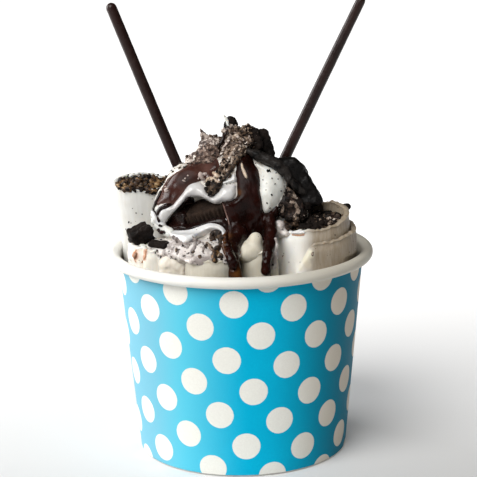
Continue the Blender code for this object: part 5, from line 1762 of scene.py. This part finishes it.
# light streaks in the main flow of sauce, and cream at its right
strand("cream_streak_flow", [(241.5, 163, 0.2), (242.5, 168, 0.36), (244.5, 173, 0.42), (246.5, 178, 0.2)], M["ivory"], "cream", -0.05, seed=134, h=0.17)
strand("cream_streak_flow_left", [(222.5, 203, 0.12), (224.5, 208, 0.16), (226, 213, 0.15), (228, 219, 0.16), (229.5, 226, 0.12)],
       M["streak"], "cream", -0.06, seed=135, h=0.12)
sliver = [(*at_depth(275.5, 239, -29.0), 0.7), (*at_depth(275, 246, -29.5), 0.8), (*at_depth(274, 256, -30.5), 1.2),
          (*at_depth(273.5, 265, -31.0), 1.1), (*at_depth(272.5, 279, -31.0), 0.9)]
solid("cream_sliver_right", banded(lambda p: chain(p, sliver, 0.8), lambda q: 0.45 * fbm(q, 2.4, 2, 136), 2.0), (8, -38, 60), (18, -26, 92),
      0.34, M["speckled_low"], "cream", rough=((0.15, 0.8),))

# cream at the left corner of the cookie's hollow
corner = [(*at_depth(153.5, 214.5, -15.0), 1.2), (*at_depth(156, 220.5, -15.2), 1.6), (*at_depth(160, 226, -15.6), 1.9),
          (*at_depth(164, 229.5, -16.4), 1.9), (*at_depth(170, 233, -18.6), 1.8)]
solid("cream_corner_left", banded(lambda p: chain(p, corner, 1.0), lambda q: 0.35 * fbm(q, 3.0, 2, 181), 2.0), (-38, -24, 80), (-20, -8, 98), 0.32,
      M["speckled_smooth"], "cream", rough=((0.1, 1.0),))

# thin runs and drops of sauce on the cream at the left
strand("sauce_line_left", [(161, 192, 0.5), (158, 199, 0.5), (155.5, 205, 0.55), (154, 210, 0.5), (154.5, 215, 0.5), (157, 219, 0.6)],
       M["wedge"], "chocolate", 0.1, seed=91, attributes={"thin": lambda v: np.zeros(len(v))})
strand("sauce_line_left_inner", [(171, 204.5, 0.5), (167, 206, 0.75), (163, 207.5, 0.7), (159.5, 210, 0.7), (158, 214, 0.6)],
       M["wedge"], "chocolate", 0.0, seed=92, attributes={"thin": lambda v: np.zeros(len(v))})
blobs("sauce_drops_left", [(159, 219.5, 1.0), (160.5, 225.5, 0.8), (159, 230, 1.0), (162, 232.5, 1.1), (158, 234, 0.9), (164.5, 232, 0.7), (169, 221, 0.7)],
      M["wedge_plain"], "chocolate", 93)
strand("cream_swirl_left", [(152.5, 212, 0.5), (155, 218, 0.7), (159, 223, 0.8), (164, 224, 0.7)], M["glossy"], "cream", 0.1, seed=94)

scatter("crumb_upper_left", "cream_heap", 120, (0.18, 0.7), M["crumb"], "crumb", 155,
        lambda v, n: (n[:, 2] > 0.1) * seen_within(v, 166, 198, 154, 177) * np.clip(0.6 + noise(v, 2.5, 156), 0, 1))
blobs("cream_spots_lobe", [(201, 176, 1.2), (204.5, 174, 1.0), (203, 179, 0.9), (207.5, 177.5, 0.7), (198.5, 178, 0.5), (206, 180.5, 0.5)],
      M["pink"], "cream", 151, sink=0.7)
strand("cream_bits_left_a", [(206, 182, 0.3), (208, 179, 0.45), (211.5, 178.5, 0.5), (215, 180.5, 0.5), (220, 182.5, 0.3)], M["ivory"], "cream", -0.1, seed=152)
strand("cream_bits_left_b", [(213, 172.5, 0.35), (215.5, 174.5, 0.55), (218, 176.5, 0.4)], M["ivory"], "cream", 0.0, seed=153)
# pink cream spots; the ones near (184–188, 176–181) stand for a highlight on the sauce: painted highlight
blobs("cream_spots_left", [(184, 181, 0.6), (185.5, 178.5, 0.4), (167, 190, 0.9), (166, 187, 0.5), (188, 176, 0.4), (204.5, 182, 0.6)],
      M["pink"], "cream", 154)

# crumbs in the soft cream over the front rolls
scatter("crumb_low_mass", "cream_heap", 110, (0.16, 0.5), M["chunk"], "crumb", 95,
        lambda v, n: ((v[:, 2] < 88) & (v[:, 2] > 77) & (v[:, 1] < -18) & (v[:, 0] < 3)) * np.clip(0.4 + noise(v, 4.0, 96), 0, 1))
blobs("crumb_low_mass_lumps", [(177, 251, 0.8), (193, 253, 0.9), (195, 239, 0.7), (206, 246, 0.9), (213, 240, 1.2), (217, 236, 1.1),
                               (216, 250, 1.4), (220, 257, 1.2), (167, 243, 0.7), (183, 246, 0.6), (200, 257, 0.8)],
      M["crumb"], "crumb", 97)

strand("crumb_low_swirl", [(211, 241, 0.5), (212.5, 235, 0.9), (216, 231.5, 1.1), (220, 233, 1.1), (221.5, 239, 1.0), (220.5, 245, 0.9)], M["crumb"],
       "crumb", -0.1, seed=161, rough=0.5, h=0.3)
strand("crumb_low_run", [(220, 246, 0.7), (217.5, 250, 1.0), (215, 255, 1.0), (214.5, 260, 0.8)], M["crumb_gold"], "crumb", -0.1, seed=163, rough=0.5, h=0.3)
strand("crumb_low_left", [(206, 243, 0.3), (209.5, 246, 0.6), (212.5, 250, 0.5)], M["crumb_light"], "crumb", -0.1, seed=164, rough=0.4, h=0.3)
for k, path in enumerate([
    [(193, 236, 0.3), (195.5, 241, 0.55), (195, 247, 0.45), (192, 252, 0.5), (193.5, 257, 0.3)],
    [(172, 236, 0.3), (176, 238.5, 0.6), (180, 240.5, 0.5), (183, 243, 0.25)],
    [(201, 240, 0.3), (204, 245, 0.5), (203, 251, 0.5), (206, 256, 0.3)],
    [(184, 243, 0.25), (187, 247, 0.4), (185, 251, 0.3)],
    [(176, 247, 0.3), (178, 251, 0.5), (176.5, 254.5, 0.3)],
]):
    strand(f"cream_low_smear_{k}", [(x, y, 0.85 * r) for x, y, r in path], M["stained"], "cream", -0.3, seed=211 + k, rough=0.45, h=0.22)
blobs("cream_low_stains", [(176, 239, 1.3), (173, 237, 0.9), (195, 240, 1.2), (179, 241, 0.8), (185, 247, 0.7), (199, 243, 0.9)],
      M["stained"], "cream", 162, sink=0.75)

# crumb fallen on the rolls and the rim of the big roll
scatter("crumb_loose", "cream_heap", 60, (0.25, 0.8), M["chunk"], "crumb", 98,
        lambda v, n: (n[:, 2] > 0.1) * ((v[:, 1] > -6) | (v[:, 0] > 8)) * 1.0)



def on_roll(name, roll, path, mat, slot, seed, h=0.2, rough=0.1, lift=0.0):
    """A thin mark along image points (x, y, radius in mm) on a roll."""
    line = [(*q, r) for q, r in ((on_sheet(roll, x, y, lift), r) for x, y, r in spline(path, 4)) if q is not None]
    pts = np.array(line)[:, :3]
    field = banded(lambda p: chain(p, line, 0.4), lambda q: rough * noise(q, 1.2, seed), 2.0)
    return solid(name, field, pts.min(0) - 2.0, pts.max(0) + 2.0, h, mat, slot, rounds=1)


on_roll("crease_front_dark", "roll_front_left_sheet", [(156.5, 250, 0.25), (159.5, 253, 0.4), (161.5, 257, 0.42), (160.5, 261, 0.25)], M["crumb"],
        "crumb", 171)
on_roll("crease_front_amber", "roll_front_left_sheet", [(147, 249, 0.12), (145.5, 252, 0.2), (145.5, 256, 0.2), (143.5, 260, 0.15), (141.5, 263, 0.12)], M["amber"],
        "ice_cream", 172)
on_roll("hole_front_amber", "roll_front_left_sheet", [(136.5, 249.5, 0.12), (134.4, 252.5, 0.42), (133.8, 256, 0.6), (134.6, 259.5, 0.4), (136.5, 262.5, 0.14)], M["amber"], "ice_cream", 173, lift=-0.28,
        rough=0.25)
on_roll("hole_front_dark", "roll_front_left_sheet", [(136.8, 253, 0.14), (136.2, 255, 0.34), (134.8, 257.5, 0.36), (135.5, 260, 0.14)], M["hollow"], "crumb", 178, lift=0.0, rough=0.25)
on_roll("sauce_line_right", "roll_right_sheet", [(291.5, 234.5, 0.12), (296, 235.2, 0.22), (301, 235.2, 0.22), (305, 234.5, 0.12)], M["amber"],
        "ice_cream", 174)
on_roll("cream_line_right", "roll_right_sheet", [(291, 232.3, 0.2), (296, 232.6, 0.45), (301, 232.4, 0.45), (305, 232, 0.2)], M["glossy"], "cream",
        175)
# crumb in the crack of the leaf's torn edge; its darker line is partly painted shade
on_roll("crack_right", "roll_right_sheet", [(313.2, 252, 0.12), (312.3, 253.8, 0.24), (312.6, 255.6, 0.12)], M["crumb_light"], "crumb", 176)
lump = at_depth(174.0, 270, -28.0)


def sheet_end(p):
    q = np.abs((p - lump) / np.array([5.3, 4.4, 5.6]))
    d = ((q**3.2).sum(-1) ** (1 / 3.2) - 1.0) * 4.4
    return smin(d, ball(p, lump + np.array([3.4, 0.4, 4.4]), (2.6, 2.6, 2.2)), 1.5)


solid("ice_cream_lump_front", banded(sheet_end, lambda q: 0.55 * fbm(q, 4.0, 3, 177), 3.0), lump - 10, lump + 9, 0.34, M["ice_lump"], "ice_cream",
      rough=((0.25, 1.2),))


def bits(name, roll, spots, mat, seed, sink=0.2):
    """Crumbs at image points (x, y, size in mm) on a roll or on its filling."""
    found = [(on_sheet(roll, x, y, s * (0.5 - sink)), s) for x, y, s in spots]
    found = [(p, s) for p, s in found if p is not None]
    return crumb_cloud(name, [p for p, _ in found], [s for _, s in found], mat, "crumb", seed, level=3)


bits("crumb_bits_roll_left", "roll_left_sheet", [(166.5, 175, 0.9), (128, 175, 0.3), (140, 174, 0.35), (149, 174, 0.3), (158, 175, 0.4), (134, 173.5, 0.25),
                                                 (157.5, 191, 1.3), (161, 189, 1.2), (154, 189.5, 0.7),
                                                 (129, 222, 0.35), (133, 227, 0.3), (126, 229, 0.25), (136, 213, 0.25), (141, 240, 0.3)], M["chunk"], 191)
on_roll("crumb_over_edge", "roll_left_sheet", [(116.5, 183.5, 0.35), (119, 187, 0.6), (124, 189.2, 0.75), (130, 189.6, 0.8), (137, 189.2, 0.65),
                                               (144, 190, 0.8), (151, 190.8, 0.75), (157, 191.6, 0.9), (162, 191.6, 0.6)], M["crumb_gold"], "crumb", 196,
        h=0.32, rough=0.75, lift=0.1)
bits("crumb_over_edge_dark", "roll_left_sheet", [(121, 188, 1.1), (128, 190.5, 1.3), (134, 190.5, 1.0), (141, 190.5, 0.9), (148, 191.5, 1.2),
                                                 (154, 192.5, 1.3), (160, 193, 1.2), (131, 188, 1.2), (146, 189, 1.3)], M["chunk"], 197)
bits("crumb_bits_roll_left_brown", "roll_left_sheet", [(156, 187, 1.3), (160, 184.5, 1.4), (152, 187.5, 0.9)],
     M["crumb_gold"], 192)
bits("crumb_bits_roll_right", "roll_right_sheet", [(284, 236, 0.35), (283, 256, 0.3), (289, 262, 0.2), (335, 235, 0.3), (343, 215, 0.5), (350, 227, 0.5),
                                                   (307, 229, 0.4), (312, 228, 0.3), (300, 262, 0.2)], M["crumb"], 193)
on_roll("cream_inside_right", "crumb_right_fill", [(328, 213, 0.4), (333, 211, 0.7), (338, 212, 0.8), (341, 214, 0.5)], M["pink"], "cream", 194,
        h=0.26, rough=0.4)
on_roll("cream_inside_right_b", "crumb_right_fill", [(320, 217, 0.3), (325, 218, 0.5), (330, 219, 0.4)], M["crumb_light"], "crumb", 195, h=0.26,
        rough=0.4)

# ice cream under the rolls, seen in the gaps
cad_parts["ice_cream_bed"].data.materials.clear()
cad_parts["ice_cream_bed"].data.materials.append(M["ice_back"])

# ------------------------------------------------------------------------------------------------
# floor, light and camera
# ------------------------------------------------------------------------------------------------
def light_area(name, place, aim, size, power, color=(1, 1, 1)):
    data = bpy.data.lights.new(name, "AREA")
    data.shape = "RECTANGLE"
    data.size, data.size_y = size
    data.energy = power
    data.color = color
    obj = bpy.data.objects.new(name, data)
    bpy.context.scene.collection.objects.link(obj)
    place, aim = np.array(place, float), np.array(aim, float)
    z = place - aim
    z /= np.linalg.norm(z)
    x = np.cross([0, 0, 1.0], z)
    x /= np.linalg.norm(x)
    y = np.cross(z, x)
    obj.matrix_world = Matrix(
        [[x[0], y[0], z[0], place[0]], [x[1], y[1], z[1], place[1]], [x[2], y[2], z[2], place[2]], [0, 0, 0, 1]]
    )
    return obj


def make_floor():
    s = 6.0
    mesh = bpy.data.meshes.new("floor")
    mesh.from_pydata([(-s, -s, -0.0004), (s, -s, -0.0004), (s, s, -0.0004), (-s, s, -0.0004)], [], [(0, 1, 2, 3)])
    floor = bpy.data.objects.new("floor", mesh)
    bpy.context.scene.collection.objects.link(floor)
    n = Nodes("floor_white", roughness=0.9, specular=0.1)
    xyz = n.add("ShaderNodeSeparateXYZ")
    n.link(n.place, xyz.inputs[0])
    n.color(lin(208, 208, 208))
    # the sweep glows softly behind the cup, as a lit white backdrop does
    n.shader.inputs["Emission Color"].default_value = (1, 1, 1, 1)
    n.put(n.shader.inputs["Emission Strength"], n.span(xyz.outputs[1], -0.06, 0.35, 0.06, 0.62))
    mesh.materials.append(n.material)


def light_sun(name, toward, power, spread, color=(1, 1, 1)):
    """A distant soft light that shines from this direction."""
    data = bpy.data.lights.new(name, "SUN")
    data.energy = power
    data.angle = math.radians(spread)
    data.color = color
    obj = bpy.data.objects.new(name, data)
    bpy.context.scene.collection.objects.link(obj)
    z = np.array(toward, float)
    z /= np.linalg.norm(z)
    x = np.cross([0, 0, 1.0], z)
    x /= np.linalg.norm(x)
    y = np.cross(z, x)
    obj.matrix_world = Matrix([[x[0], y[0], z[0], 0], [x[1], y[1], z[1], 0], [x[2], y[2], z[2], 1], [0, 0, 0, 1]])
    return obj


make_floor()
light_sun("key", (-0.56, -0.83, 0.98), 3.4, 45, (1.0, 0.99, 0.97))
light_area("window", (-0.60, 0.25, 0.30), (0, 0, 0.09), (0.5, 0.5), 4.5, (1.0, 1.0, 1.0))

world = bpy.data.worlds.new("studio")
world.use_nodes = True
world.node_tree.nodes["Background"].inputs["Color"].default_value = (1, 0.97, 0.92, 1)
world.node_tree.nodes["Background"].inputs["Strength"].default_value = 0.035
bpy.context.scene.world = world
bpy.context.scene.view_settings.view_transform = "Standard"
bpy.context.scene.view_settings.look = "None"

cam_data = bpy.data.cameras.new("camera")
cam_data.sensor_fit = "HORIZONTAL"
cam_data.sensor_width = 36.0
cam_data.lens = 36.0 * FOCAL_PX / IMAGE
cam_data.clip_start, cam_data.clip_end = 0.05, 30
camera = bpy.data.objects.new("camera", cam_data)
bpy.context.scene.collection.objects.link(camera)
eye = EYE * MM
camera.matrix_world = Matrix(
    [
        [RIGHT[0], UP[0], -FWD[0], eye[0]],
        [RIGHT[1], UP[1], -FWD[1], eye[1]],
        [RIGHT[2], UP[2], -FWD[2], eye[2]],
        [0, 0, 0, 1],
    ]
)
bpy.context.scene.camera = camera
